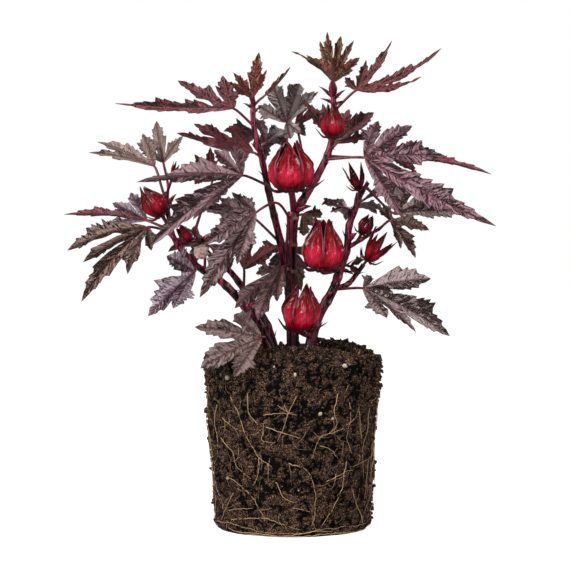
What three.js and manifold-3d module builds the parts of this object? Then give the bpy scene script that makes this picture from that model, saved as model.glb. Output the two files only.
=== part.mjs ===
// A cranberry hibiscus that stands on its bare root ball: dark lobed leaves, crimson stems, red calyces
// and a pot-shaped ball of peaty soil held by its own roots. Millimetres, +Z up, viewer on the -Y side.
// The origin is the centre of the root ball's flat underside.

import * as THREE from 'three';
import { mergeVertices } from 'three/addons/utils/BufferGeometryUtils.js';
import Module from 'manifold-3d';

const wasm = await Module();
wasm.setup();

// Driving dimensions
const BALL_BASE_RADIUS = 69.5;
const BALL_RIM_RADIUS = 79.5;
const BALL_RIM_HEIGHT = 150;
const SOIL_HEIGHT = 160;
const GAP = 0.3;
const BLADE_THICKNESS = 0.75;
const PETIOLE_RADIUS = 1.25;
const PETIOLE_RUN = 6;

// Places are written as they show from the front: across, up, and depth towards the back. The eye is
// EYE_DISTANCE in front of the plant's middle, so what is nearer to it is drawn in towards its line.
const EYE_DISTANCE = 2000;
const EYE_ACROSS = -6.75;
const EYE_HEIGHT = 288;

function at([across, up, depth]) {
  const shrink = 1 + depth / EYE_DISTANCE;
  const x = EYE_ACROSS + (across - EYE_ACROSS) * shrink;
  const z = EYE_HEIGHT + (up - EYE_HEIGHT) * shrink;
  return new THREE.Vector3(x, depth, z);
}

// Solids: closed meshes are joined and cut as manifolds, and come back as flat-shaded geometry.
function geometryFrom(points, faces) {
  const geometry = new THREE.BufferGeometry();
  const positions = new Float32Array(points.flatMap((p) => [p.x, p.y, p.z]));
  geometry.setAttribute('position', new THREE.BufferAttribute(positions, 3));
  geometry.setIndex(faces.flat());
  return geometry;
}

function solidFrom(geometry) {
  const bare = geometry.clone();
  bare.deleteAttribute('normal');
  bare.deleteAttribute('uv');
  const merged = mergeVertices(bare, 1e-4);
  const vertProperties = new Float32Array(merged.attributes.position.array);
  const triVerts = new Uint32Array(merged.index.array);
  return new wasm.Manifold(new wasm.Mesh({ numProp: 3, vertProperties, triVerts }));
}

function join(solids) {
  return solids.reduce((sum, solid) => sum.add(solid));
}

function largestPiece(solid) {
  const pieces = solid.decompose();
  return pieces.reduce((best, piece) => (piece.volume() > best.volume() ? piece : best));
}

function meshFrom(name, solid, material) {
  const { vertProperties, triVerts } = solid.getMesh();
  const geometry = new THREE.BufferGeometry();
  geometry.setAttribute('position', new THREE.BufferAttribute(vertProperties, 3));
  geometry.setIndex(new THREE.BufferAttribute(triVerts, 1));
  const mesh = new THREE.Mesh(geometry, material);
  mesh.name = name;
  return mesh;
}

// A closed skin over rings of points, from one end point to the other.
function loft(start, rings, end) {
  const sides = rings[0].length;
  const points = [start, ...rings.flat(), end];
  const last = points.length - 1;
  const index = (ring, side) => 1 + ring * sides + (side % sides);
  const faces = [];
  for (let side = 0; side < sides; side++) {
    faces.push([0, index(0, side + 1), index(0, side)]);
    for (let ring = 0; ring + 1 < rings.length; ring++) {
      const near = [index(ring, side), index(ring, side + 1)];
      const far = [index(ring + 1, side), index(ring + 1, side + 1)];
      faces.push([near[0], near[1], far[1]], [near[0], far[1], far[0]]);
    }
    faces.push([last, index(rings.length - 1, side), index(rings.length - 1, side + 1)]);
  }
  return solidFrom(geometryFrom(points, faces));
}

// Rings of points round a line of centres, kept from twisting from one ring to the next.
const FIRST_ACROSS = new THREE.Vector3(0.31, 0.87, 0.38);

function ringsAlong(centres, radii, sides) {
  const last = centres.length - 1;
  const across = FIRST_ACROSS.clone();
  return centres.map((centre, i) => {
    const ahead = centres[Math.min(last, i + 1)].clone().sub(centres[Math.max(0, i - 1)]).normalize();
    across.addScaledVector(ahead, -across.dot(ahead)).normalize();
    const up = ahead.clone().cross(across);
    return Array.from({ length: sides }, (_, side) => {
      const angle = (2 * Math.PI * side) / sides;
      return centre.clone()
        .addScaledVector(across, Math.cos(angle) * radii[i])
        .addScaledVector(up, Math.sin(angle) * radii[i]);
    });
  });
}

// A round branch that tapers along a smooth curve, with a ring at each of its points.
function branch(points, startRadius, endRadius, sides, stepLength) {
  const curve = new THREE.CatmullRomCurve3(points, false, 'centripetal');
  const spans = points.length - 1;
  const centres = [];
  for (let span = 0; span < spans; span++) {
    const steps = Math.max(1, Math.round(points[span].distanceTo(points[span + 1]) / stepLength));
    for (let step = 0; step < steps; step++) centres.push(curve.getPoint((span + step / steps) / spans));
  }
  centres.push(points[spans]);
  const radii = centres.map((_, i) => THREE.MathUtils.lerp(startRadius, endRadius, i / (centres.length - 1)));
  return loft(centres[0], ringsAlong(centres, radii, sides), centres.at(-1));
}

// A narrow pointed bract: a thin three-sided blade on a bent line.
const SPIKE_SIDES = 3;
const SPIKE_TAPER = 0.8;

function spike(root, elbow, tip, radius) {
  const curve = new THREE.QuadraticBezierCurve3(root, elbow, tip);
  const centres = [root, curve.getPoint(0.5)];
  return loft(root, ringsAlong(centres, [radius, radius * SPIKE_TAPER], SPIKE_SIDES), tip);
}

// Materials
const LEAF_UPPER = new THREE.MeshStandardMaterial({ color: 0x5a484e, roughness: 0.4, metalness: 0 });
const LEAF_UNDER = new THREE.MeshStandardMaterial({ color: 0x73323c, roughness: 0.5, metalness: 0 });
const LEAF_YOUNG = new THREE.MeshStandardMaterial({ color: 0x63402f, roughness: 0.45, metalness: 0 });
const STEM = new THREE.MeshStandardMaterial({ color: 0x6e1932, roughness: 0.4, metalness: 0 });
const CALYX = new THREE.MeshStandardMaterial({ color: 0xbe0f28, roughness: 0.3, metalness: 0 });
const CALYX_DARK = new THREE.MeshStandardMaterial({ color: 0x7a1226, roughness: 0.35, metalness: 0 });
const BLOOM = new THREE.MeshStandardMaterial({ color: 0xd9b8a8, roughness: 0.6, metalness: 0 });
const SOIL = new THREE.MeshStandardMaterial({ color: 0x2d231e, roughness: 0.95, metalness: 0 });

// Stems: each node is a stem with the side shoots and twigs that it grew, rising from the soil.
// A shoot is its points, then its radius at the foot and at the end.
const STEM_SIDES = 8;
const STEM_STEP = 32;
const STEMS = {
  stem_centre: [
    [[[1, 144, 2], [-0.5, 190, 2], [-1.5, 250, -2], [0.5, 284, -4]], 6, 5.2],
    [[[-0.8, 196, 3], [-5, 222, 8], [-9.5, 250, 12], [-20, 295, 8], [-27.5, 331, 3], [-35, 362, 0],
      [-35.5, 384, 0]], 4, 2.3],
    [[[0.5, 281, -4], [14, 302, -1], [30, 331.5, 2], [34.5, 346, 2], [37, 366, 2], [36.5, 392, 2]], 4, 2.3],
  ],
  stem_right: [
    [[[12, 144, -10], [22, 187, -8], [36.5, 214, -4], [43, 232.5, 0], [49, 251.5, 2], [51, 272, 2],
      [57, 288, 2], [59.5, 301, 0]], 5.6, 2.6],
    [[[57, 289, 2], [62, 300, 6], [68, 310, 8]], 2.4, 1.6],
    [[[37, 214.5, -4], [50, 219, -10], [60, 231, -13], [64, 236.5, -14]], 2.6, 2],
    [[[49, 251, 2], [62, 259, 2], [79.5, 269.5, 2]], 2.2, 1.5],
  ],
  stem_low_left: [
    [[[-14, 144, -16], [-31, 182, -20], [-38, 193, -22], [-65, 222, -26], [-87, 236, -26], [-106, 259, -22],
      [-112, 284, -18], [-113, 302, -15]], 5, 1.8],
    [[[-99, 250, -23.5], [-108, 262, -20], [-117, 271, -16]], 2.6, 2],
  ],
  stem_behind_left: [
    [[[-12, 144, 14], [-24, 184, 16], [-38, 205, 16], [-56, 230, 12], [-73, 244, 4], [-84, 258, -2],
      [-89, 270, -4]], 4.4, 1.8],
  ],
};

function stemSolid(shoots, growth) {
  const solids = shoots.map(([places, startRadius, endRadius]) =>
    branch(places.map(at), startRadius + growth, endRadius + growth, STEM_SIDES, STEM_STEP));
  return join(solids);
}

// Small buds and bracts that stand on the stems: place, then the direction and length, then the radius.
const BUDS = {
  stem_centre: [
    [[-35.5, 382, 0], [-3, 12, -5], 2.6],
    [[-30, 338, 2], [-7, 7, -6], 2],
    [[3, 285, -6], [14, 4, -9], 3],
    [[-24, 312, 5], [8, 9, -5], 1.8],
    [[32, 338, 1], [9, 7, -6], 2.2],
    [[36.5, 390, 2], [-1, 13, -6], 4],
    [[36.5, 386, 2], [-13, 10, -8], 1.8],
    [[36.5, 384, 2], [11, 9, -9], 1.8],
    [[37, 368, 2], [-6, 8, 6], 1.8],
  ],
  stem_right: [
    [[50, 258, 2], [8, 7, -7], 3],
    [[52, 276, 2], [-2, 11, -8], 2.2],
    [[59, 298, 0], [10, 8, 4], 1.8],
    [[43, 232, 0], [13, -5, -8], 2],
    [[30, 203, -6], [9, 9, -9], 2],
  ],
  stem_low_left: [
    [[-112, 290, -17], [8, 10, -4], 2],
    [[-87, 238, -26], [-6, 9, -7], 2.2],
    [[-66, 224, -26], [5, 11, -8], 2],
    [[-40, 196, -22], [7, 8, -8], 1.8],
  ],
  stem_behind_left: [
    [[-82, 256, -1], [9, 9, -5], 2.4],
    [[-58, 232, 12], [6, 11, 5], 2],
  ],
};

const BUD_SIDES = 4;
const BUD_STEP = 8;
const BUD_MIDDLE = 0.55;
const BUD_BOW = 1;
const BUD_TAPER = 0.25;

function budSolid([place, reach, radius]) {
  const root = at(place);
  const [across, up, depth] = reach;
  const tip = root.clone().add(new THREE.Vector3(across, depth, up));
  const middle = root.clone().lerp(tip, BUD_MIDDLE);
  middle.z += BUD_BOW;
  return branch([root, middle, tip], radius, radius * BUD_TAPER, BUD_SIDES, BUD_STEP);
}

// Leaves: a petiole carries a blade whose lobes spread from one point. A lobe is its tip, its width,
// and how far it bends sideways as a share of its length. The lobes are listed round the fan.
const LEAVES = [
  { name: 'leaf_top_left', side: 'under', from: [-34, 360, 0], base: [-53.5, 376.7, -10], arch: -0.05,
    lobes: [[-159, 381, -38, 19, 0.03], [-103, 401.5, 6, 24, 0], [-62.5, 406, 34, 22, 0]] },
  { name: 'leaf_shoot_left', side: 'young', from: [-35.5, 376, 0], base: [-36, 386, -7], arch: 0.02,
    lobes: [[-57, 400, -24, 9, 0], [-53, 408.6, -16, 10, 0], [-30, 427, -8, 15, 0],
      [-23, 411, -20, 8, 0]] },
  { name: 'leaf_shoot_right', side: 'young', from: [-35.5, 378, 0], base: [-30, 384, 5], arch: -0.05,
    lobes: [[-12, 405.5, 26, 9, 0], [-2, 413.6, 8, 12, -0.06]] },
  { name: 'leaf_left_maroon', web: 0.75, side: 'under', from: [-28.5, 333, 4], base: [-35, 337, 13],
    arch: -0.04,
    lobes: [[-80.5, 345, -16, 17, 0], [-104, 354.5, 4, 22, 0.03], [-88.6, 362.7, 26, 26, 0],
      [-56, 361, 32, 20, 0]] },
  { name: 'leaf_behind_leader', side: 'upper', from: [-30, 342, 4], base: [-24, 346, 22], arch: 0.06,
    lobes: [[-34, 369, 48, 16, 0], [-9, 358, 60, 22, 0], [-9, 345.5, 30, 15, 0]] },
  { name: 'leaf_top_centre', web: 0.75, side: 'upper', from: [3, 287, -4], via: [-3, 330, 22],
    base: [-5, 364, 30], arch: 0.05,
    lobes: [[-31, 379, 40, 16, 0], [-17, 399, 30, 26, 0], [6, 399, 26, 28, 0], [20, 392, 30, 16, 0],
      [8, 354, 14, 10, 0], [-1.5, 349.6, 12, 17, 0]] },
  { name: 'leaf_centre_back', side: 'under', from: [10, 296, -2], via: [8, 340, 34], base: [3, 364, 40],
    arch: 0.05,
    lobes: [[23, 391.5, 46, 16, 0], [33, 372, 70, 16, 0], [12, 352, 84, 16, 0]] },
  { name: 'leaf_tip_back', side: 'young', from: [36.5, 388, 2], base: [37, 402, 8], arch: 0.03,
    lobes: [[24.5, 437, 22, 9, 0], [31, 445, 10, 13, 0], [43.5, 441.5, 14, 13, 0], [55, 437.5, 4, 9, 0]] },
  { name: 'leaf_tip_front', side: 'young', from: [36.5, 386, 2], base: [36.5, 400, -8], arch: 0.05,
    lobes: [[-1, 427.5, 6, 9, 0.04], [12.5, 424, -22, 15, 0], [36, 422, -28, 9, 0],
      [60.5, 422, -20, 14, 0]] },
  { name: 'leaf_top_right', side: 'under', from: [37, 374, 2], base: [57.6, 393, -4], arch: -0.06,
    lobes: [[47, 404.5, 14, 10, 0], [66, 420, 26, 12, 0], [89, 437, 14, 14, 0],
      [133.6, 430.5, -18, 14, 0.05], [115.6, 405, -44, 11, 0.04]] },
  { name: 'leaf_behind_calyx', web: 0.5, side: 'under', from: [34.5, 346, 2], base: [36, 345.5, 17],
    arch: -0.02,
    lobes: [[8.5, 384.5, 6, 18, 0.05], [27, 381, 34, 15, 0], [51, 376, 44, 17, 0], [73, 373, 22, 30, 0],
      [69, 352, 4, 15, 0]] },
  { name: 'leaf_right_big', web: 0.36, side: 'upper', from: [30, 331, 2], base: [65, 332.5, -12],
    arch: 0.06,
    lobes: [[77, 365.4, 6, 19, 0], [107.5, 361, -4, 24, 0], [138, 333.5, -22, 24, 0],
      [183, 271, -52, 25, 0.04], [99.5, 278, -40, 19, 0]] },
  { name: 'leaf_right_red', side: 'under', from: [31, 334, 2], via: [50, 333, 16], base: [88, 332, 20],
    arch: 0.04,
    lobes: [[86, 356, 52, 18, 0], [116, 345, 46, 20, 0], [178.6, 317.5, 8, 15, -0.03],
      [112, 318, -4, 14, 0]] },
  { name: 'leaf_right_olive', web: 0.45, side: 'upper', from: [66, 306, 7], base: [92, 282, 18], arch: 0.07,
    lobes: [[106, 310, 30, 22, 0], [135.5, 297, 26, 24, 0], [167, 282, 8, 19, 0]] },
  { name: 'leaf_right_small', web: 0.4, side: 'upper', from: [77, 267.5, 2], base: [88, 276, -6],
    arch: 0.05,
    lobes: [[72, 291, -8, 11, 0], [81, 292, 2, 8, 0], [123, 267.5, 2, 17, 0], [110.7, 242.5, -18, 18, 0],
      [97.6, 250.6, -24, 10, 0]] },
  { name: 'leaf_right_low', web: 0.5, side: 'upper', from: [36.5, 214, -4], base: [64, 215, -22],
    arch: 0.06,
    lobes: [[70.6, 226.5, -18, 12, 0], [124.6, 223.6, -24, 32, 0], [141.7, 172, -48, 32, 0],
      [111, 176, -56, 15, 0], [85, 188.5, -50, 26, 0]] },
  { name: 'leaf_far_left', web: 0.4, side: 'upper', from: [-112.5, 290, -17], via: [-117, 304, -22],
    base: [-124, 324.5, -16], arch: 0.05,
    lobes: [[-182.7, 337, -14, 13, 0], [-175, 346.5, 4, 15, 0], [-134.5, 354, 8, 15, 0]] },
  { name: 'leaf_far_left_back', side: 'upper', from: [-112.5, 293, -16.5], via: [-112, 308, -7],
    base: [-116, 328, -3], arch: 0.05,
    lobes: [[-140, 346, 12, 11, 0], [-122, 365.4, 16, 16, 0], [-98.5, 351.8, 2, 13, 0]] },
  { name: 'leaf_left_mid', web: 0.4, side: 'upper', from: [-116, 270, -16.5], base: [-131, 276, -10],
    arch: 0.05,
    lobes: [[-167, 273, -14, 20, 0], [-205, 281.5, 4, 13, 0], [-162, 291.5, 16, 15, 0],
      [-145.5, 301, 8, 15, 0]] },
  { name: 'leaf_left_low', web: 0.36, side: 'upper', from: [-113.5, 267.5, -18], base: [-130, 270, -30],
    arch: 0.08,
    lobes: [[-202.5, 249, -40, 22, -0.03], [-188.5, 238.5, -46, 17, 0], [-190, 203, -62, 26, 0],
      [-148.4, 228, -66, 24, 0], [-127, 249, -52, 14, 0]] },
  { name: 'leaf_low_left', web: 0.5, side: 'upper', from: [-87, 236, -26], base: [-88, 230, -38],
    arch: 0.07,
    lobes: [[-113.3, 244, -46, 24, 0], [-130, 190, -62, 30, 0], [-107.5, 197, -66, 24, 0]] },
  { name: 'leaf_centre_left_big', web: 0.36, side: 'upper', from: [-23, 308, 6], base: [-45.5, 316.4, -28],
    arch: 0.06,
    lobes: [[-52, 343, -18, 18, 0], [-70.6, 339.5, -22, 20, 0], [-113, 317, -40, 28, 0],
      [-140, 310.5, -50, 15, 0], [-128, 253, -74, 28, 0], [-89.5, 277, -76, 20, 0]] },
  { name: 'leaf_behind_big_left', side: 'under', from: [-88, 266, -3.5], via: [-80, 290, 12],
    base: [-72, 312, 18], arch: 0.04,
    lobes: [[-99, 318, 26, 13, 0], [-88, 335.5, 18, 12, 0], [-74, 342, 12, 12, 0], [-55, 326, 38, 12, 0]] },
  { name: 'leaf_inner_left', side: 'upper', from: [-11, 256, 12], base: [-36, 279, 20], arch: 0.05,
    lobes: [[-88, 287, 16, 20, 0], [-66, 296, 34, 16, 0], [-54.5, 301.5, 20, 14, 0],
      [-44.5, 299, 34, 12, 0]] },
  { name: 'leaf_drooping', web: 0.4, side: 'upper', from: [-1, 276, -4], via: [-15, 292, -32],
    base: [-33, 283, -48], arch: 0.08,
    lobes: [[-47, 296, -42, 12, 0], [-71.5, 288, -56, 20, 0], [-80.5, 254, -78, 22, 0],
      [-83.7, 206.5, -84, 30, 0], [-50, 236.5, -82, 20, 0]] },
  { name: 'leaf_red_inner', web: 0.5, side: 'under', from: [-44, 212.5, 15], base: [-43.6, 232.6, 0],
    arch: 0.04,
    lobes: [[-47, 262, 26, 12, 0], [-34, 264, 2, 17, 0], [-13.5, 252.5, -12, 20, 0]] },
  { name: 'leaf_centre_low', web: 0.5, side: 'upper', from: [-1.5, 236, -1], base: [-9, 234, -24],
    arch: 0.07,
    lobes: [[-33, 228, -34, 14, 0], [-52, 197, -44, 24, 0], [-31, 186, -56, 28, 0],
      [-14, 203, -58, 16, 0]] },
  { name: 'leaf_over_rim', web: 0.6, side: 'upper', from: [-24, 169.5, -18.5], base: [-28, 170.5, -50],
    arch: 0.05,
    lobes: [[-52.6, 191.6, -46, 24, 0], [-88, 180, -58, 24, 0], [-83, 143, -74, 32, 0],
      [-52.7, 135, -84, 22, 0]] },
  { name: 'leaf_small_grey', side: 'upper', from: [55, 284, 2], base: [46, 288, -8], arch: 0.04,
    lobes: [[36.5, 295, -4, 9, 0], [29.5, 290.5, -14, 12, 0], [34, 283.5, -18, 8, 0]] },
  { name: 'leaf_round_olive', web: 0.6, side: 'under', from: [0.5, 280, -4], base: [9, 281.5, -3],
    arch: 0.05,
    lobes: [[27, 282, 10, 13, 0], [25, 268, -2, 18, 0], [10, 262, -6, 14, 0]] },
  { name: 'leaf_small_dark', side: 'upper', from: [44.5, 237, 0.5], base: [52, 235, -9], arch: 0.04,
    lobes: [[65, 241, -24, 10, 0], [60, 229, -26, 9, 0]] },
  { name: 'leaf_back_left', side: 'upper', from: [-57, 231, 12], via: [-66, 246, 34], base: [-76, 254, 48],
    arch: 0.1,
    lobes: [[-104, 268, 52, 16, 0], [-112, 248, 88, 22, 0], [-90, 236, 112, 24, 0],
      [-64, 238, 104, 20, 0]] },
  { name: 'leaf_back_right', side: 'upper', from: [50, 262, 2], via: [52, 276, 24], base: [54, 284, 40],
    arch: 0.1,
    lobes: [[86, 300, 74, 20, 0], [76, 282, 104, 24, 0], [48, 276, 118, 26, 0], [26, 290, 88, 18, 0]] },
  { name: 'leaf_back_high', side: 'upper', from: [-31, 347, 2], via: [-30, 352, 26], base: [-30, 352, 44],
    arch: 0.12,
    lobes: [[-62, 356, 66, 18, 0], [-52, 338, 98, 22, 0], [-26, 326, 116, 26, 0], [-4, 338, 92, 18, 0]] },
  { name: 'leaf_back_low', side: 'upper', from: [-7.5, 238, 10], via: [-6, 250, 30], base: [-4, 250, 46],
    arch: 0.12,
    lobes: [[-34, 240, 74, 20, 0], [-20, 216, 98, 24, 0], [8, 212, 104, 26, 0], [24, 236, 78, 18, 0]] },
];

// Half-width of a lobe along its free length, as a share of its greatest half-width.
const SHOULDER = 0.56;
const WIDEST = 0.35;
const TIP_POWER = 1.35;

function lobeOutline(share) {
  const rise = SHOULDER + (1 - SHOULDER) * Math.sin((Math.PI / 2) * Math.min(1, share / WIDEST));
  const fall = share < WIDEST ? 1 : 1 - ((share - WIDEST) / (1 - WIDEST)) ** TIP_POWER;
  return rise * fall;
}

// Points along a lobe's free edge, tooth by tooth: a place along it, a share of the full width, and a
// forward lean. Each tooth points to the tip and is cut back sharply behind its point.
const LONG_EDGE = [[0.24, 1.14, 0.03], [0.34, 0.72, 0], [0.56, 1.2, 0.04], [0.66, 0.7, 0]];
const SHORT_EDGE = [[0.38, 1.1, 0.04], [0.5, 0.68, 0]];
const SHORT_LOBE = 72;
const FOLD = 0.22;
const DEEPEST_SINUS = 0.12;
const SHALLOWEST_SINUS = 0.3;
const LONGEST_WEB = 0.75;
const CLEAR_OF_NEIGHBOUR = 0.88;
const NEIGHBOUR_SHARE = 0.5;

function lobesOf(leaf) {
  const base = at(leaf.base);
  const lobes = leaf.lobes.map(([across, up, depth, width, bend]) => {
    const tip = at([across, up, depth]);
    const axis = tip.clone().sub(base);
    return { tip, width, bend, length: axis.length(), axis: axis.normalize() };
  });
  const turns = [];
  for (let i = 0; i + 1 < lobes.length; i++) {
    turns.push(lobes[i].axis.clone().cross(lobes[i + 1].axis));
  }
  const whole = turns.reduce((sum, turn) => sum.add(turn), new THREE.Vector3()).normalize();
  lobes.forEach((lobe, i) => {
    const normal = whole.clone();
    if (i > 0) normal.addScaledVector(turns[i - 1].clone().normalize(), NEIGHBOUR_SHARE);
    if (i < turns.length) normal.addScaledVector(turns[i].clone().normalize(), NEIGHBOUR_SHARE);
    normal.addScaledVector(lobe.axis, -normal.dot(lobe.axis)).normalize();
    lobe.normal = normal;
    lobe.side = normal.clone().cross(lobe.axis);
  });
  return { base, lobes, up: whole.z < 0 ? -1 : 1 };
}

// A point on the midrib, which arches over and may bend to one side.
function midrib(base, lobe, share, arch) {
  const swell = 4 * share * (1 - share);
  return base.clone()
    .addScaledVector(lobe.axis, lobe.length * share)
    .addScaledVector(lobe.normal, arch * lobe.length * swell)
    .addScaledVector(lobe.side, lobe.bend * lobe.length * swell);
}

// The blade as one sheet of points and faces, shared by its upper and its lower face.
function bladeSheet(leaf) {
  const { base, lobes, up } = lobesOf(leaf);
  const arch = leaf.arch * up;
  const points = [base];
  const faces = [];
  const add = (point) => points.push(point) - 1;
  const sinuses = [];
  for (let i = 0; i + 1 < lobes.length; i++) {
    const [left, right] = [lobes[i], lobes[i + 1]];
    const angle = left.axis.angleTo(right.axis);
    const shorter = Math.min(left.length, right.length);
    const apart = (SHOULDER * (left.width + right.width)) / 4 / Math.sin(angle / 2);
    const web = leaf.web ?? SHALLOWEST_SINUS;
    const reach = THREE.MathUtils.clamp(apart, DEEPEST_SINUS * shorter, web * shorter);
    const direction = left.axis.clone().add(right.axis).normalize();
    const share = reach / shorter;
    const lift = arch * shorter * 4 * share * (1 - share);
    const normal = left.normal.clone().add(right.normal).normalize();
    const point = base.clone().addScaledVector(direction, reach).addScaledVector(normal, lift);
    sinuses.push({ reach, index: add(point), spread: Math.sin(angle / 2) * CLEAR_OF_NEIGHBOUR });
  }
  const outline = [];
  lobes.forEach((lobe, i) => {
    const edge = lobe.length < SHORT_LOBE ? SHORT_EDGE : LONG_EDGE;
    const near = [sinuses[i - 1], sinuses[i]].filter((sinus) => sinus);
    const reach = near.reduce((sum, sinus) => sum + sinus.reach, 0) / near.length;
    const start = Math.min(reach / lobe.length, LONGEST_WEB);
    const along = (share) => start + (1 - start) * share;
    const spine = [add(midrib(base, lobe, start, arch))];
    edge.forEach(([share]) => spine.push(add(midrib(base, lobe, along(share), arch))));
    const tip = add(lobe.tip);
    const halves = [-1, 1].map((hand) => {
      const sinus = hand < 0 ? sinuses[i - 1] : sinuses[i];
      const edgePoint = (share, scale, lean) => {
        const room = sinus ? along(share + lean) * lobe.length * sinus.spread : Infinity;
        const half = Math.min(room, (lobe.width / 2) * lobeOutline(share) * scale);
        return midrib(base, lobe, along(share + lean), arch)
          .addScaledVector(lobe.side, hand * half)
          .addScaledVector(lobe.normal, up * half * FOLD);
      };
      const rim = [sinus ? sinus.index : add(edgePoint(0, 1, 0))];
      edge.forEach(([share, scale, lean]) => rim.push(add(edgePoint(share, scale, lean))));
      const strip = [[0, spine[0], rim[0]]];
      for (let k = 0; k + 1 < spine.length; k++) {
        strip.push([spine[k], spine[k + 1], rim[k + 1]], [spine[k], rim[k + 1], rim[k]]);
      }
      strip.push([spine.at(-1), tip, rim.at(-1)]);
      faces.push(...strip.map(([a, b, c]) => (hand < 0 ? [a, c, b] : [a, b, c])));
      return rim;
    });
    if (i === 0) outline.push(0);
    outline.push(...(i === 0 ? halves[0] : halves[0].slice(1)), tip, ...halves[1].reverse());
  });
  return { points, faces, outline };
}

function bladeSolid(leaf) {
  const { points, faces, outline } = bladeSheet(leaf);
  const normals = points.map(() => new THREE.Vector3());
  faces.forEach(([a, b, c]) => {
    const first = points[b].clone().sub(points[a]);
    const turn = first.cross(points[c].clone().sub(points[a])).normalize();
    [a, b, c].forEach((corner) => normals[corner].add(turn));
  });
  normals.forEach((normal) => normal.normalize());
  const count = points.length;
  const half = BLADE_THICKNESS / 2;
  const skin = [half, -half].flatMap((offset) =>
    points.map((point, i) => point.clone().addScaledVector(normals[i], offset)));
  const all = [...faces, ...faces.map(([a, b, c]) => [a + count, c + count, b + count])];
  outline.forEach((from, i) => {
    const to = outline[(i + 1) % outline.length];
    all.push([from, from + count, to + count], [from, to + count, to]);
  });
  return solidFrom(geometryFrom(skin, all));
}

// A petiole is a little thicker at its foot, and runs on under the main lobe's midrib.
const PETIOLE_FOOT = 1.1;
const PETIOLE_END = 0.8;
const PETIOLE_SIDES = 4;
const PETIOLE_STEP = 42;

function leafSolid(leaf) {
  const { base, lobes, up } = lobesOf(leaf);
  const main = lobes.reduce((best, lobe) => (lobe.length > best.length ? lobe : best));
  const end = midrib(base, main, PETIOLE_RUN / main.length, leaf.arch * up);
  const middle = leaf.via ? [at(leaf.via)] : [];
  const petiole = branch([at(leaf.from), ...middle, base, end], PETIOLE_RADIUS * PETIOLE_FOOT,
    PETIOLE_RADIUS * PETIOLE_END, PETIOLE_SIDES, PETIOLE_STEP);
  return bladeSolid(leaf).add(petiole);
}

// Calyces: a ribbed cup of five fleshy sepals that end in points, in a ring of narrow bracts. Spread is
// 0 where the sepals close up over the fruit, and 1 where they stand wide open.
const CALYCES = [
  { name: 'calyx_centre', from: [0.5, 284, -4], base: [-1, 302, -25], tip: [-3, 349, -29], radius: 19.5,
    bracts: 5, spread: 0.05, points: 15, material: CALYX },
  { name: 'calyx_mid_right', from: [43, 232.5, 0], base: [27.5, 231, -31], tip: [28, 279, -37], radius: 18,
    bracts: 5, spread: 0.08, points: 15, material: CALYX },
  { name: 'calyx_low', from: [16, 171, -10], base: [6.5, 177.5, -40], tip: [10, 219.5, -48], radius: 16,
    bracts: 5, spread: 0.0, points: 15, material: CALYX },
  { name: 'calyx_top', from: [35, 348, 2], base: [36, 350.5, -13], tip: [35, 382, -17], radius: 10.6,
    bracts: 5, spread: 0.05, points: 15, material: CALYX_DARK },
  { name: 'calyx_left', from: [-107.5, 261, -20], base: [-117, 280.5, -29], tip: [-136, 307, -34],
    radius: 10.5, bracts: 5, spread: 0.15, points: 10, material: CALYX },
  { name: 'calyx_open', from: [64, 236.5, -14], base: [67, 240, -16], tip: [85, 264, -24], radius: 8.5,
    bracts: 6, spread: 0.95, points: 10, material: CALYX },
  { name: 'calyx_dark', from: [59.5, 301, 0], base: [60, 304, -2], tip: [54, 327, -8], radius: 7, bracts: 5,
    spread: 0.8, points: 10, material: CALYX_DARK },
  { name: 'calyx_small_right', from: [55, 253.5, 2], base: [62, 264, -6], tip: [71, 281, -10], radius: 6.5,
    bracts: 4, spread: 0.3, points: 10, material: CALYX_DARK },
  { name: 'calyx_bud_left', from: [-84, 258, -2], base: [-92, 257, -12], tip: [-103, 271, -16], radius: 5.5,
    bracts: 3, spread: 0.5, points: 10, material: CALYX },
  { name: 'calyx_bud_far_left', from: [-113, 300, -15], base: [-108, 314, -20], tip: [-101, 327, -22],
    radius: 4.5, bracts: 3, spread: 0.8, points: 10, material: CALYX },
  { name: 'bloom_spent', from: [-79, 231, -26], base: [-79, 243, -37], tip: [-84, 252, -45], radius: 6,
    bracts: 0, spread: 0.3, points: 10, material: BLOOM },
];

// The cup's radius up to where its sepals part, as shares of that height and of the greatest radius.
const CUP_PROFILE = [[0, 0.35], [0.13, 0.8], [0.32, 0.96], [0.6, 1], [0.85, 0.9]];
const SMALL_CUP_PROFILE = [[0, 0.35], [0.25, 0.85], [0.65, 1]];
const RIB_HEIGHT = 0.07;
const SEPALS = 5;
const SEPAL_FLANK = 0.1;
const POINT_STAGGER = 0.05;
// Where the sepals part, how wide the cup is there and how far out they point, for spread 0 and 1.
const PARTING = [0.68, 0.42];
const MOUTH = [0.76, 1.05];
const POINTS = [0.3, 1.45];
const INNER_MOUTH = { size: 0.7, drop: 0.02 };
const CUP_FLOOR = 0.1;
// Bracts bend up round the cup. Sizes are shares of the calyx's radius, and rises of its height.
const BRACT = {
  root: 0.25, rootRise: 0.05, elbow: 1.15, tip: 1.22, tipRise: 0.26, stagger: 0.05, radius: 0.08,
};
const THINNEST_BRACT = 0.8;
const PEDICEL = { radius: 0.14, least: 1.2, most: 2.4, rise: 0.12, sides: 5, step: 40 };

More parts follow.
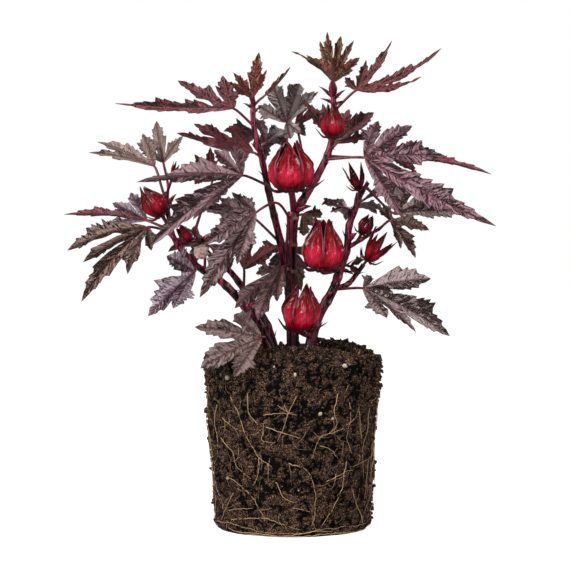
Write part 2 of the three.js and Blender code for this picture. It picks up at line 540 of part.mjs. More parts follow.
function calyxSolid(calyx) {
  const base = at(calyx.base);
  const tip = at(calyx.tip);
  const height = tip.distanceTo(base);
  const up = tip.clone().sub(base).normalize();
  const across = new THREE.Vector3(1, 0, 0).addScaledVector(up, -up.x).normalize();
  const depth = up.clone().cross(across);
  const local = (angle, radius, share) => base.clone()
    .addScaledVector(across, Math.cos(angle) * radius)
    .addScaledVector(depth, Math.sin(angle) * radius)
    .addScaledVector(up, share * height);
  const turn = -Math.PI / 2;
  const ringOf = (place) => Array.from({ length: calyx.points }, (_, k) => {
    const angle = turn + (2 * Math.PI * k) / calyx.points;
    return place(angle, (k * SEPALS) % calyx.points === 0, k);
  });
  const parting = THREE.MathUtils.lerp(...PARTING, calyx.spread);
  const mouth = calyx.radius * THREE.MathUtils.lerp(...MOUTH, calyx.spread);
  const points = calyx.radius * THREE.MathUtils.lerp(...POINTS, calyx.spread);
  const profile = calyx.points > 10 ? CUP_PROFILE : SMALL_CUP_PROFILE;
  const rings = profile.map(([share, size]) => ringOf((angle) => {
    const rib = 1 + RIB_HEIGHT * Math.cos(SEPALS * (angle - turn));
    return local(angle, calyx.radius * size * rib, share * parting);
  }));
  rings.push(ringOf((angle) => local(angle, mouth, parting)));
  rings.push(ringOf((angle, middle, k) => (middle
    ? local(angle, points, 1 - POINT_STAGGER * (k % 2))
    : local(angle, (mouth * 2 + points) / 3, parting + SEPAL_FLANK))));
  rings.push(ringOf((angle) => local(angle, mouth * INNER_MOUTH.size, parting - INNER_MOUTH.drop)));
  const solids = [loft(local(0, 0, 0), rings, local(0, 0, parting - CUP_FLOOR))];
  for (let k = 0; k < calyx.bracts; k++) {
    const angle = turn + (2 * Math.PI * (k + 0.5)) / calyx.bracts;
    const root = local(angle, calyx.radius * BRACT.root, BRACT.rootRise);
    const elbow = local(angle, calyx.radius * BRACT.elbow, 0);
    const point = local(angle, calyx.radius * BRACT.tip, BRACT.tipRise + BRACT.stagger * (k % 2));
    solids.push(spike(root, elbow, point, Math.max(THINNEST_BRACT, calyx.radius * BRACT.radius)));
  }
  const pedicelRadius = THREE.MathUtils.clamp(calyx.radius * PEDICEL.radius, PEDICEL.least, PEDICEL.most);
  const end = local(0, 0, PEDICEL.rise);
  solids.push(branch([at(calyx.from), base, end], pedicelRadius, pedicelRadius, PEDICEL.sides, PEDICEL.step));
  return join(solids);
}

// The root ball: a tapered body of soil, lumpy on its side and mounded on top, flat below.
const BALL_POINTS = 32;
const SIDE_HEIGHTS = [0, 3, 30, 60, 90, 120, 146];
const TOP_SHARES = [0.95, 0.76, 0.5, 0.24];
const FOOT_TUCK = 2.5;
const FLARE_POWER = 1.3;
// The lumps on the side are waves: how far they stand out, how many go round, and their slant.
const LUMP_WAVES = [[0.72, 3, 19], [0.56, 7, -11], [0.4, 13, 6]];
const CLUMP = { across: 42, depth: 22, height: 8, radius: 20 };
const TOP_WAVES = { height: 1.6, across: 7, depth: 8 };
const RIM_ROUNDNESS = 6;
const UNDERSIDE_FAN = new THREE.Vector3(14, -8, 0);

function lumps(angle, height) {
  return LUMP_WAVES.reduce((sum, [out, count, slant]) =>
    sum + out * Math.sin(count * angle + height / slant), 0);
}

function ballRadius(angle, height) {
  const flare = (height / BALL_RIM_HEIGHT) ** FLARE_POWER;
  return THREE.MathUtils.lerp(BALL_BASE_RADIUS, BALL_RIM_RADIUS, flare) + lumps(angle, height);
}

function onBall(angle, height, lift) {
  const radius = ballRadius(angle, height) + lift;
  return new THREE.Vector3(Math.cos(angle) * radius, Math.sin(angle) * radius, height);
}

function soilTop(angle, share) {
  const radius = ballRadius(angle, BALL_RIM_HEIGHT) * share;
  const x = Math.cos(angle) * radius;
  const y = Math.sin(angle) * radius;
  const inside = 1 - share ** RIM_ROUNDNESS;
  const mound = (SOIL_HEIGHT - BALL_RIM_HEIGHT) * inside;
  const away = Math.hypot(x - CLUMP.across, y - CLUMP.depth) / CLUMP.radius;
  const clump = CLUMP.height * Math.exp(-away * away);
  const wave = Math.sin(x / TOP_WAVES.across + 1) * Math.cos(y / TOP_WAVES.depth);
  const rough = TOP_WAVES.height * wave * inside;
  return new THREE.Vector3(x, y, BALL_RIM_HEIGHT + mound + clump + rough);
}

// Roots on the side of the ball: the ones in front are given by their places, across and up.
const ROOT_RADIUS = 0.95;
const ROOT_TAPER = 0.8;
const ROOT_SIDES = 3;
const FRONT_ROOTS = [
  [[3, 118], [-2, 103], [-7, 90], [-13, 77]],
  [[-54, 117], [-44.5, 97], [-39, 80], [-29, 62], [-18, 54]],
  [[-29, 62], [-30, 48], [-33, 37]],
  [[-53.5, 44], [-42, 35.5], [-33, 25], [-24, 8]],
  [[59, 109], [53.5, 97], [41, 88.5], [26, 83], [16, 61]],
  [[-3, 57], [11, 50], [17.5, 37], [18.5, 5]],
  [[46, 59], [42, 38], [39, 26], [26, 6]],
  [[57.5, 104], [60, 64], [59.5, 44]],
  [[-23, 90.5], [-9.5, 85], [6, 80]],
  [[51, 33], [56, 20], [62, 5]],
  [[-64, 42], [-61, 15]],
  [[-52, 6], [-27, 7], [-9.5, 4]],
];
const FRONT_ROOT_STEP = 40;
const LOWEST_ROOT = 3;
// The roots on the back and the sides run down from between these heights, and sway as they go.
const ROUND_ROOTS = {
  count: 6, margin: 0.1, highest: 128, lowest: 94, foot: 4, footStagger: 20, sway: 0.14, drift: 0.05, step: 60,
};
const PERLITE_RADIUS = 2.3;
const PERLITE = [[51, 145], [2, 133], [-57, 134], [23, 102], [34, 97.5], [-54.5, 44], [5, 32.5]];
const PERLITE_BELOW_RIM = 6;

function frontPoint([across, up]) {
  const guess = ballRadius(-Math.PI / 2, up);
  const depth = -Math.sqrt(Math.max(0, guess * guess - across * across));
  const shrink = 1 + depth / EYE_DISTANCE;
  const height = Math.max(LOWEST_ROOT, EYE_HEIGHT + (up - EYE_HEIGHT) * shrink);
  return onBall(Math.atan2(depth, across), height, 0);
}

function roundRoot(k) {
  const { count, margin, highest, lowest, foot, footStagger, sway, drift, step } = ROUND_ROOTS;
  const start = THREE.MathUtils.lerp(-margin, Math.PI + margin, (k + 0.5) / count);
  const top = THREE.MathUtils.lerp(highest, lowest, ((k * 3) % 4) / 3);
  const end = foot + footStagger * (k % 2);
  const places = [0, 0.5, 1].map((share) => {
    const bend = sway * ((k % 3) - 1) * Math.sin(3 * share) + drift * share * (k % 5);
    return onBall(start + bend, THREE.MathUtils.lerp(top, end, share), 0);
  });
  return branch(places, ROOT_RADIUS, ROOT_RADIUS * ROOT_TAPER, ROOT_SIDES, step);
}

function rootBallSolid() {
  const angles = Array.from({ length: BALL_POINTS }, (_, k) => (2 * Math.PI * k) / BALL_POINTS);
  const sideRings = SIDE_HEIGHTS.map((height) =>
    angles.map((angle) => onBall(angle, height, height === 0 ? -FOOT_TUCK : 0)));
  const topRings = TOP_SHARES.map((share) => angles.map((angle) => soilTop(angle, share)));
  const solids = [loft(UNDERSIDE_FAN, [...sideRings, ...topRings], soilTop(0, 0))];
  FRONT_ROOTS.forEach((places) => {
    const end = ROOT_RADIUS * ROOT_TAPER;
    solids.push(branch(places.map(frontPoint), ROOT_RADIUS, end, ROOT_SIDES, FRONT_ROOT_STEP));
  });
  for (let k = 0; k < ROUND_ROOTS.count; k++) solids.push(roundRoot(k));
  PERLITE.forEach(([across, up]) => {
    const grain = new THREE.IcosahedronGeometry(PERLITE_RADIUS, 0);
    const centre = frontPoint([across, Math.min(up, BALL_RIM_HEIGHT - PERLITE_BELOW_RIM)]);
    grain.translate(centre.x, centre.y, centre.z);
    solids.push(solidFrom(grain));
  });
  return join(solids);
}

// Assembly: stems stand in holes in the soil, and leaves and calyces end a gap short of their stems.
const group = new THREE.Group();
const stemHoles = join(Object.values(STEMS).map((shoots) => stemSolid(shoots, GAP)));
const place = (name, solid, material) => group.add(meshFrom(name, largestPiece(solid), material));

place('root_ball', rootBallSolid().subtract(stemHoles), SOIL);
Object.entries(STEMS).forEach(([name, shoots]) => {
  place(name, join([stemSolid(shoots, 0), ...BUDS[name].map(budSolid)]), STEM);
});
const buds = Object.values(BUDS).flat();
const budHoles = join(buds.map(([where, reach, radius]) => budSolid([where, reach, radius + GAP])));
const growthHoles = stemHoles.add(budHoles);
const leafMaterials = { upper: LEAF_UPPER, under: LEAF_UNDER, young: LEAF_YOUNG };
LEAVES.forEach((leaf) => {
  place(leaf.name, leafSolid(leaf).subtract(growthHoles), leafMaterials[leaf.side]);
});
CALYCES.forEach((calyx) => {
  place(calyx.name, calyxSolid(calyx).subtract(growthHoles), calyx.material);
});

export default group;
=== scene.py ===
import math

import bpy
import numpy as np
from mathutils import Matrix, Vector, kdtree, noise


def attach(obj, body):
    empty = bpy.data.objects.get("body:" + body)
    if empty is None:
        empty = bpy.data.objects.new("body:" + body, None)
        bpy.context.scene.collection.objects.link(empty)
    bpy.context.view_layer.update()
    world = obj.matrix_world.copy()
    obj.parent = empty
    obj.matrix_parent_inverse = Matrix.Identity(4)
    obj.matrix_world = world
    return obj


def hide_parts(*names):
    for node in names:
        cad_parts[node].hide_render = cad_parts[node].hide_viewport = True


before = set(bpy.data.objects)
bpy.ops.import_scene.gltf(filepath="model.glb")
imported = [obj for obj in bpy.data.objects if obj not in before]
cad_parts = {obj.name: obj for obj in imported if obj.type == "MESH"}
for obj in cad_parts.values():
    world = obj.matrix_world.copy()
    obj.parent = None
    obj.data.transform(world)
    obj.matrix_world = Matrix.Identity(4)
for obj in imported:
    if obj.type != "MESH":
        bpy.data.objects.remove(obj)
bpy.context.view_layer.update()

# The view: the plant is seen from 2 m in front, a little above the soil, through a long lens.
# It stands on a plain white floor in front of nothing, between two tall soft panels and under a third,
# with a weak one in front and one behind.
EYE_DISTANCE = 2.0
EYE_ACROSS = -0.00675
EYE_HEIGHT = 0.288
AIM_HEIGHT = 0.218
VIEW_WIDTH = 0.513
SENSOR_MM = 36

lens = bpy.data.cameras.new("camera")
lens.sensor_width = SENSOR_MM
lens.lens = SENSOR_MM * math.hypot(EYE_DISTANCE, EYE_HEIGHT - AIM_HEIGHT) / VIEW_WIDTH
camera = bpy.data.objects.new("camera", lens)
camera.location = (EYE_ACROSS, -EYE_DISTANCE, EYE_HEIGHT)
sight = Vector((EYE_ACROSS, 0, AIM_HEIGHT)) - camera.location
camera.rotation_euler = sight.to_track_quat("-Z", "Y").to_euler()
bpy.context.collection.objects.link(camera)
scene = bpy.context.scene
scene.camera = camera
scene.view_settings.view_transform = "Standard"

# The room shows as plain white, but its walls light the plant only softly, so the panels shape it.
ROOM_SHINE = 0.2
FLOOR_SHINE = 0.97
FLOOR_HALF = 6.0


def white_to_camera(tree, glow, others):
    """Gives a strength socket full white for what the camera sees, and less for the light it sheds."""
    path = tree.nodes.new("ShaderNodeLightPath")
    span = tree.nodes.new("ShaderNodeMapRange")
    span.inputs["To Min"].default_value = others
    span.inputs["To Max"].default_value = glow.default_value
    tree.links.new(path.outputs["Is Camera Ray"], span.inputs["Value"])
    tree.links.new(span.outputs["Result"], glow)


world = bpy.data.worlds.new("white_room")
world.use_nodes = True
wall = world.node_tree.nodes["Background"].inputs
wall["Color"].default_value = (1.0, 1.0, 1.0, 1)
wall["Strength"].default_value = 1.0
white_to_camera(world.node_tree, wall["Strength"], ROOM_SHINE)
scene.world = world


def add_panel(name, place, aim, size, power):
    panel = bpy.data.lights.new(name, "AREA")
    panel.shape = "RECTANGLE"
    panel.size, panel.size_y = size
    panel.energy = power
    lamp = bpy.data.objects.new(name, panel)
    lamp.location = place
    lamp.rotation_euler = (Vector(aim) - Vector(place)).to_track_quat("-Z", "Y").to_euler()
    bpy.context.collection.objects.link(lamp)


add_panel("panel_left", (-1.1, -1.15, 0.95), (0, 0, 0.25), (0.45, 0.8), 21)
add_panel("panel_right", (1.2, -1.0, 0.75), (0, 0, 0.25), (0.3, 0.8), 8)
add_panel("panel_above", (-0.1, -0.3, 1.6), (0, 0, 0.25), (0.7, 0.7), 6)
add_panel("panel_front", (0.2, -1.8, 0.5), (0, 0, 0.15), (1.2, 0.6), 2.5)
add_panel("panel_behind", (0.3, 1.5, 0.9), (0, 0, 0.2), (1.0, 0.8), 7)

floor_mesh = bpy.data.meshes.new("floor")
corners = [(x * FLOOR_HALF, y * FLOOR_HALF, 0) for x, y in ((-1, -1), (1, -1), (1, 1), (-1, 1))]
floor_mesh.from_pydata(corners, [], [(0, 1, 2, 3)])
floor = bpy.data.objects.new("floor", floor_mesh)
bpy.context.collection.objects.link(floor)
floor_paint = bpy.data.materials.new("floor_white")
floor_paint.use_nodes = True
floor_inputs = floor_paint.node_tree.nodes["Principled BSDF"].inputs
floor_inputs["Base Color"].default_value = (0.3, 0.3, 0.3, 1)
floor_inputs["Roughness"].default_value = 0.9
floor_inputs["Emission Color"].default_value = (1, 1, 1, 1)
floor_inputs["Emission Strength"].default_value = FLOOR_SHINE
white_to_camera(floor_paint.node_tree, floor_inputs["Emission Strength"], 0.0)
floor_mesh.materials.append(floor_paint)

# The soil: peat that kept the shape of the pot it grew in, 139 mm across at its foot and 159 at its rim.
# It is one lumpy skin, flat below and mounded on top, raised in clods and crumbs that touch each other.
MM = 0.001
BALL_BASE_RADIUS = 69.5
BALL_RIM_RADIUS = 79.5
BALL_RIM_HEIGHT = 150
SOIL_HEIGHT = 160
CLOD_PLACE = (42, 22)
CLOD_HEIGHT = 8
CLOD_RADIUS = 20
FLARE_CURVE = 1.3
# The ball is not quite round: each wave is its height, its count round the ball, and its length up the side.
SIDE_WAVES = ((0.9, 3, 19), (0.7, 7, -11), (0.5, 13, 6))
WAVES_SHARE = 0.8
MOUND_CURVE = 6
TOP_WAVES = 1.6


def ball_radius(angle, height):
    flare = np.clip(height / BALL_RIM_HEIGHT, 0, 1) ** FLARE_CURVE
    waves = sum(size * np.sin(count * angle + height / length) for size, count, length in SIDE_WAVES)
    return BALL_BASE_RADIUS + (BALL_RIM_RADIUS - BALL_BASE_RADIUS) * flare + WAVES_SHARE * waves


def soil_top(x, y, share):
    level = 1 - share ** MOUND_CURVE
    mound = (SOIL_HEIGHT - BALL_RIM_HEIGHT) * level
    away = np.hypot(x - CLOD_PLACE[0], y - CLOD_PLACE[1]) / CLOD_RADIUS
    rough = TOP_WAVES * np.sin(x / 7 + 1) * np.cos(y / 8) * level
    return BALL_RIM_HEIGHT + mound + CLOD_HEIGHT * np.exp(-away * away) + rough


def make_piece(name, points, faces, paints, shares=None, paint_of=None, smooth=True):
    """A mesh object in metres from points in millimetres, with a number for each point under each name."""
    mesh = bpy.data.meshes.new(name)
    mesh.from_pydata((np.asarray(points) * MM).tolist(), [], faces)
    for key, values in (shares or {}).items():
        layer = mesh.attributes.new(key, "FLOAT", "POINT")
        layer.data.foreach_set("value", np.asarray(values, dtype=np.float32))
    for paint in paints:
        mesh.materials.append(paint)
    if paint_of is not None:
        mesh.polygons.foreach_set("material_index", np.asarray(paint_of, dtype=np.int32))
    mesh.polygons.foreach_set("use_smooth", np.full(len(mesh.polygons), smooth))
    mesh.update()
    piece = bpy.data.objects.new(name, mesh)
    bpy.context.collection.objects.link(piece)
    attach(piece, "root")
    return piece


def grid_faces(rows, columns, offset=0, closed=False):
    across = np.arange(columns if closed else columns - 1)
    row, column = np.meshgrid(np.arange(rows - 1), across, indexing="ij")
    nearby = (column + 1) % columns
    faces = np.stack([row * columns + column, row * columns + nearby,
                      (row + 1) * columns + nearby, (row + 1) * columns + column], axis=-1)
    return faces.reshape(-1, 4) + offset


def capped_rings(rows, columns):
    """Faces that join rings of points into one closed body, with a flat face at each end."""
    last = (rows - 1) * columns
    return grid_faces(rows, columns, closed=True).tolist() + [
        list(range(columns))[::-1], list(range(last, last + columns))]


class Paint:
    """A material for one finish. An input takes a number, a colour, or the output of another node."""

    def __init__(self, name):
        self.material = bpy.data.materials.new(name)
        self.material.use_nodes = True
        self.tree = self.material.node_tree

    def put(self, socket, value):
        if hasattr(value, "is_output"):
            self.tree.links.new(value, socket)
        else:
            socket.default_value = (*value, 1) if socket.type == "RGBA" else value

    def add(self, kind, inputs, output=0, **settings):
        node = self.tree.nodes.new(kind)
        for key, value in settings.items():
            setattr(node, key, value)
        for key, value in inputs.items():
            self.put(node.inputs[key], value)
        return node.outputs[output]

    def share(self, name):
        """A number that the mesh carries under a name."""
        return self.add("ShaderNodeAttribute", {}, "Fac", attribute_name=name)

    def place(self):
        return self.add("ShaderNodeTexCoord", {}, "Object")

    def noise(self, scale, detail=3.0, output="Fac", place=None):
        inputs = {"Vector": self.place() if place is None else place, "Scale": scale, "Detail": detail}
        return self.add("ShaderNodeTexNoise", inputs, output)

    def ramp(self, source, low, high):
        """Maps the stretch from low to high of a value to 0..1."""
        inputs = {"Value": source, "From Min": low, "From Max": high}
        return self.add("ShaderNodeMapRange", inputs, "Result", interpolation_type="SMOOTHSTEP")

    def times(self, first, second):
        return self.add("ShaderNodeMath", {0: first, 1: second}, operation="MULTIPLY")

    def plus(self, first, second):
        return self.add("ShaderNodeMath", {0: first, 1: second}, operation="ADD")

    def blend(self, share, first, second, kind="MIX"):
        """A colour between two, by a share."""
        inputs = {0: share, 6: first, 7: second}
        return self.add("ShaderNodeMix", inputs, 2, data_type="RGBA", blend_type=kind)

    def finish(self, colour, own, height, distance, strength=1.0):
        """Puts the colour, the shader's own numbers and a relief on the shader, and gives the material."""
        shader = self.tree.nodes["Principled BSDF"]
        relief = {"Height": height, "Distance": distance, "Strength": strength}
        bump = self.add("ShaderNodeBump", relief, "Normal")
        for key, value in {"Base Color": colour, "Normal": bump, **own}.items():
            self.put(shader.inputs[key], value)
        return self.material


def soil_paint():
    paint = Paint("peat_soil")
    grains = paint.noise(760, 4)
    dark = paint.blend(paint.ramp(grains, 0.44, 0.62), (0.002, 0.0013, 0.0011), (0.14, 0.082, 0.067))
    brown = paint.blend(paint.ramp(paint.noise(260, 4), 0.55, 0.7), dark, (0.19, 0.1, 0.072))
    flecked = paint.blend(paint.ramp(paint.noise(1100, 2), 0.61, 0.67), brown, (0.75, 0.42, 0.18))
    # Low places in the relief are painted near black: painted shade in the crannies between crumbs. Loose
    # crumbs get a random tone through the same share.
    colour = paint.blend(paint.ramp(paint.share("raised"), 0.1, 0.6), (0.002, 0.0016, 0.0013), flecked)
    return paint.finish(colour, {"Roughness": 0.7, "Specular IOR Level": 0.12}, grains, 0.0022)


SOIL_AROUND = 400
SOIL_SIDE_ROWS = 170
SOIL_TOP_RINGS = 52
SOIL_FOOT_RINGS = 6
FOOT_TUCK = 2.2
FOOT_HEIGHT = 2.0
# The crumbs' relief: crannies' size and depth, and how far the whole skin settles below the ball's shape.
CRANNY_SIZE = 2.8
CRANNY_DEPTH = 1.9
CLOD_SHARE = 0.3
CRUMB_SHARE = 0.7
SETTLED = 0.4
CRUMBS_NEAR = 3
# Percentiles of the relief between which the painted shade in the crannies fades out.
DARK_BELOW, LIGHT_ABOVE = 15, 90
soil_rng = np.random.default_rng(11)


def crumb_relief(points, seed, spacing, size_low, size_high):
    """How far each point stands up on the crumbs of soil: round backs, with gaps between them."""
    rng = np.random.default_rng(seed)
    chosen = rng.choice(len(points), size=int(len(points) / spacing), replace=False)
    tree = kdtree.KDTree(len(chosen))
    for index, point_index in enumerate(chosen):
        tree.insert(points[point_index], index)
    tree.balance()
    sizes = rng.uniform(size_low, size_high, len(chosen))
    height = np.zeros(len(points))
    for index, point in enumerate(points):
        best = 0.0
        for _, which, distance in tree.find_n(point, CRUMBS_NEAR):
            size = sizes[which]
            if distance < size:
                best = max(best, math.sqrt(size * size - distance * distance))
        height[index] = best
    return height


around = np.linspace(0, 2 * np.pi, SOIL_AROUND, endpoint=False)
rows = []
out_ways = []
for share in np.linspace(0.0, 0.97, SOIL_FOOT_RINGS):
    radius = ball_radius(around, 0) * share
    rows.append(np.stack([radius * np.cos(around), radius * np.sin(around), 0 * around], axis=1))
    out_ways.append(np.zeros((SOIL_AROUND, 3)))
for height in np.linspace(0.4, BALL_RIM_HEIGHT, SOIL_SIDE_ROWS):
    tuck = FOOT_TUCK * math.exp(-height / FOOT_HEIGHT)
    radius = ball_radius(around, height) - tuck
    rows.append(np.stack([radius * np.cos(around), radius * np.sin(around), 0 * around + height], axis=1))
    out_ways.append(np.stack([np.cos(around), np.sin(around), 0 * around], axis=1))
for share in np.linspace(0.992, 0.012, SOIL_TOP_RINGS):
    radius = ball_radius(around, BALL_RIM_HEIGHT) * share
    x, y = radius * np.cos(around), radius * np.sin(around)
    rows.append(np.stack([x, y, soil_top(x, y, share)], axis=1))
    lean = share ** 5
    out_ways.append(np.stack([np.cos(around) * lean, np.sin(around) * lean, 0 * around + 1], axis=1))
skin = np.concatenate(rows)
out_way = np.concatenate(out_ways)
length = np.linalg.norm(out_way, axis=1, keepdims=True)
out_way = np.divide(out_way, length, out=np.zeros_like(out_way), where=length > 0)
clods = crumb_relief(skin, seed=3, spacing=90, size_low=3.0, size_high=6.0)
crumbs = crumb_relief(skin, seed=4, spacing=14, size_low=1.0, size_high=2.4)
crannies = np.array([noise.turbulence(Vector(spot) / CRANNY_SIZE, 3, True) for spot in skin.tolist()])
relief = CLOD_SHARE * clods + CRUMB_SHARE * crumbs + CRANNY_DEPTH * crannies
relief -= np.mean(relief) + SETTLED
deepest, highest = np.percentile(relief, (DARK_BELOW, LIGHT_ABOVE))
skin = skin + out_way * relief[:, None]
skin[:, 2] = np.maximum(skin[:, 2], 0)
peat = soil_paint()
soil = make_piece("soil_body", skin, capped_rings(len(rows), SOIL_AROUND), [peat],
                  {"raised": (relief - deepest) / (highest - deepest)})
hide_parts("root_ball")

# Loose crumbs and bark fibres: what clings to the outside of the ball and stands out of its outline.
# Crumbs are small uneven lumps, sunk by half; fibres are short bent slivers, tan or dark.
CRUMB_COUNT = 4200
CRUMB_SIZES = (0.6, 1.6)
CRUMB_SHAPE = (1.0, 0.8, 0.55)
BIG_CRUMB_SHARE = 0.14
BIG_CRUMB = 1.9
TOP_CRUMB_GROWTH = 0.35
CRUMB_SINK = 0.6
FIBRE_COUNT = 1100
FIBRE_REACHES = (1.2, 4.0)
FIBRE_RADII = (0.18, 0.5)
ABOVE_FLOOR = 0.05


def lump_shape():
    golden = (1 + 5 ** 0.5) / 2
    corners_20 = np.array([
        (-1, golden, 0), (1, golden, 0), (-1, -golden, 0), (1, -golden, 0),
        (0, -1, golden), (0, 1, golden), (0, -1, -golden), (0, 1, -golden),
        (golden, 0, -1), (golden, 0, 1), (-golden, 0, -1), (-golden, 0, 1)])
    faces_20 = [(0, 11, 5), (0, 5, 1), (0, 1, 7), (0, 7, 10), (0, 10, 11), (1, 5, 9), (5, 11, 4), (11, 10, 2),
                (10, 7, 6), (7, 1, 8), (3, 9, 4), (3, 4, 2), (3, 2, 6), (3, 6, 8), (3, 8, 9), (4, 9, 5),
                (2, 4, 11), (6, 2, 10), (8, 6, 7), (9, 8, 1)]
    return corners_20 / np.linalg.norm(corners_20[0]), faces_20


LUMP_POINTS, LUMP_FACES = lump_shape()


def soil_spot(rng, top_share=0.25):
    """A place on the ball and the way out of it: on the side, or on the top in the given share."""
    angle = rng.uniform(0, 2 * math.pi)
    if rng.random() < top_share:
        share = math.sqrt(rng.uniform(0.02, 1.0))
        radius = float(ball_radius(angle, BALL_RIM_HEIGHT)) * share
        x, y = radius * math.cos(angle), radius * math.sin(angle)
        return np.array([x, y, float(soil_top(x, y, share))]), np.array([0, 0, 1.0])
    height = rng.uniform(3, BALL_RIM_HEIGHT)
    radius = float(ball_radius(angle, height))
    return (np.array([radius * math.cos(angle), radius * math.sin(angle), height]),
            np.array([math.cos(angle), math.sin(angle), 0]))


def uneven_lump(rng, size, least, most, flat):
    """The points of one uneven lump, turned any way: each lies between least and most of its size out."""
    turn, _ = np.linalg.qr(rng.normal(size=(3, 3)))
    return (LUMP_POINTS * rng.uniform(least, most, (12, 1)) * np.array(flat) * size) @ turn.T


class Heap:
    """Gathers the points, faces and shares of many small shapes for one piece."""

    def __init__(self):
        self.points, self.faces, self.paints, self.shares, self.count = [], [], [], {}, 0

    def add(self, points, faces, paint=0, **shares):
        self.faces.extend([tuple(corner + self.count for corner in face) for face in faces])
        self.paints.extend([paint] * len(faces))
        self.points.append(np.asarray(points))
        self.count += len(points)
        for key, value in shares.items():
            for_each = np.broadcast_to(np.asarray(value, dtype=float), (len(points),))
            self.shares.setdefault(key, []).append(for_each)

    def piece(self, name, paints, smooth=True):
        shares = {key: np.concatenate(values) for key, values in self.shares.items()}
        return make_piece(name, np.concatenate(self.points), self.faces, paints, shares, self.paints, smooth)


loose = Heap()
for _ in range(CRUMB_COUNT):
    spot, out = soil_spot(soil_rng)
    size = soil_rng.uniform(*CRUMB_SIZES) * (BIG_CRUMB if soil_rng.random() < BIG_CRUMB_SHARE else 1.0)
    size *= 1 + TOP_CRUMB_GROWTH * out[2]
    placed = uneven_lump(soil_rng, size, 0.6, 1.3, CRUMB_SHAPE) + spot + out * (size * 0.75 - CRUMB_SINK)
    placed[:, 2] = np.maximum(placed[:, 2], ABOVE_FLOOR)
    loose.add(placed, LUMP_FACES, raised=soil_rng.uniform(0.2, 1.0))
loose.piece("soil_crumbs", [peat], smooth=False)


def tube_along(centres, radii, sides):
    """Points and faces of a round tube with closed ends round a line of centres."""
    centres = np.asarray(centres, dtype=float)
    ahead = np.gradient(centres, axis=0)
    ahead /= np.linalg.norm(ahead, axis=1, keepdims=True)
    across = np.array([0.31, 0.87, 0.38])
    angles = np.linspace(0, 2 * np.pi, sides, endpoint=False)
    rings = []
    for centre, way, radius in zip(centres, ahead, radii):
        across = across - way * (across @ way)
        across = across / np.linalg.norm(across)
        up = np.cross(way, across)
        ring_radius = np.broadcast_to(radius, (sides,))[:, None]
        rings.append(centre + ring_radius * (np.cos(angles)[:, None] * across + np.sin(angles)[:, None] * up))
    points = np.concatenate(rings)
    return points, capped_rings(len(centres), sides)


def smooth_line(knots, step):
    """Points about a step apart on the smooth curve through the knots."""
    knots = np.asarray(knots, dtype=float)
    padded = np.vstack([2 * knots[0] - knots[1], knots, 2 * knots[-1] - knots[-2]])
    line = []
    for k in range(1, len(padded) - 2):
        p0, p1, p2, p3 = padded[k - 1:k + 3]
        gaps = [max(1e-6, np.linalg.norm(b - a)) ** 0.5 for a, b in ((p0, p1), (p1, p2), (p2, p3))]
        t1, t2, t3 = gaps[0], gaps[0] + gaps[1], sum(gaps)
        count = max(1, int(round(np.linalg.norm(p2 - p1) / step)))
        for t in np.linspace(t1, t2, count, endpoint=False):
            a1 = (t1 - t) / t1 * p0 + t / t1 * p1
            a2 = (t2 - t) / (t2 - t1) * p1 + (t - t1) / (t2 - t1) * p2
            a3 = (t3 - t) / (t3 - t2) * p2 + (t - t2) / (t3 - t2) * p3
            b1 = (t2 - t) / t2 * a1 + t / t2 * a2
            b2 = (t3 - t) / (t3 - t1) * a2 + (t - t1) / (t3 - t1) * a3
            line.append((t2 - t) / (t2 - t1) * b1 + (t - t1) / (t2 - t1) * b2)
    line.append(knots[-1])
    return np.array(line)


def fibre_paint():
    paint = Paint("bark_fibre")
    colour = paint.blend(paint.share("tone"), (0.015, 0.009, 0.006), (0.3, 0.18, 0.09))
    mottled = paint.blend(0.35, colour, paint.noise(700, 2, "Color"), "MULTIPLY")
    return paint.finish(mottled, {"Roughness": 0.8}, paint.noise(700, 2), 0.0004)


fibres = Heap()
for _ in range(FIBRE_COUNT):
    spot, out = soil_spot(soil_rng, 0.35)
    way = soil_rng.normal(size=3)
    way -= out * (way @ out) * soil_rng.uniform(0.3, 1.0)
    way /= np.linalg.norm(way)
    reach = soil_rng.uniform(*FIBRE_REACHES)
    middle = spot + out * soil_rng.uniform(0.3, 1.1)
    end = middle + way * reach * 0.5 + out * soil_rng.uniform(-0.6, 0.5)
    line = [middle - way * reach * 0.5 - out * 0.7, middle, end]
    thick = soil_rng.uniform(*FIBRE_RADII)
    points, faces = tube_along(line, [thick, thick, thick * 0.5], 4)
    points[:, 2] = np.maximum(points[:, 2], ABOVE_FLOOR)
    fibres.add(points, faces, tone=soil_rng.random() ** 2)
fibres.piece("soil_fibres", [fibre_paint()])

# Perlite: white grains of puffed glass mixed into the peat, a few of which show on the outside.
# The ones in front are given by their place (across, up) and size; the rest are strewn behind them.
FRONT_PERLITE = [(45.5, 145, 2.8), (2, 137, 2.0), (-57, 134.5, 3.0), (23, 102, 2.4), (33.5, 97.5, 1.5),
                 (-54.5, 44, 1.9), (5, 32.5, 1.0), (-16, 147, 1.2)]
STREWN_PERLITE = 26
STREWN_SIZES = (0.7, 1.8)
BEHIND_FRONT = 20


def seen_from_front(across, up, depth):
    """A place as it shows from the front, moved along the line of sight to its depth, in millimetres."""
    shrink = 1 + depth / (EYE_DISTANCE / MM)
    return np.array([EYE_ACROSS / MM + (across - EYE_ACROSS / MM) * shrink, depth,
                     EYE_HEIGHT / MM + (up - EYE_HEIGHT / MM) * shrink])


def front_of_ball(across, up, lift=0.0):
    radius = float(ball_radius(-math.pi / 2, np.array(up * 1.0)))
    depth = -math.sqrt(max(0.0, radius * radius - across * across))
    height = float(np.clip(seen_from_front(across, up, depth)[2], 1.5, BALL_RIM_HEIGHT))
    angle = math.atan2(depth, across)
    radius = float(ball_radius(angle, height)) + lift
    return np.array([math.cos(angle) * radius, math.sin(angle) * radius, height])


def perlite_paint():
    paint = Paint("perlite")
    pores = paint.noise(1400, 2)
    colour = paint.blend(paint.ramp(pores, 0.4, 0.6), (0.5, 0.38, 0.26), (0.95, 0.86, 0.7))
    return paint.finish(colour, {"Roughness": 0.7}, pores, 0.0005)


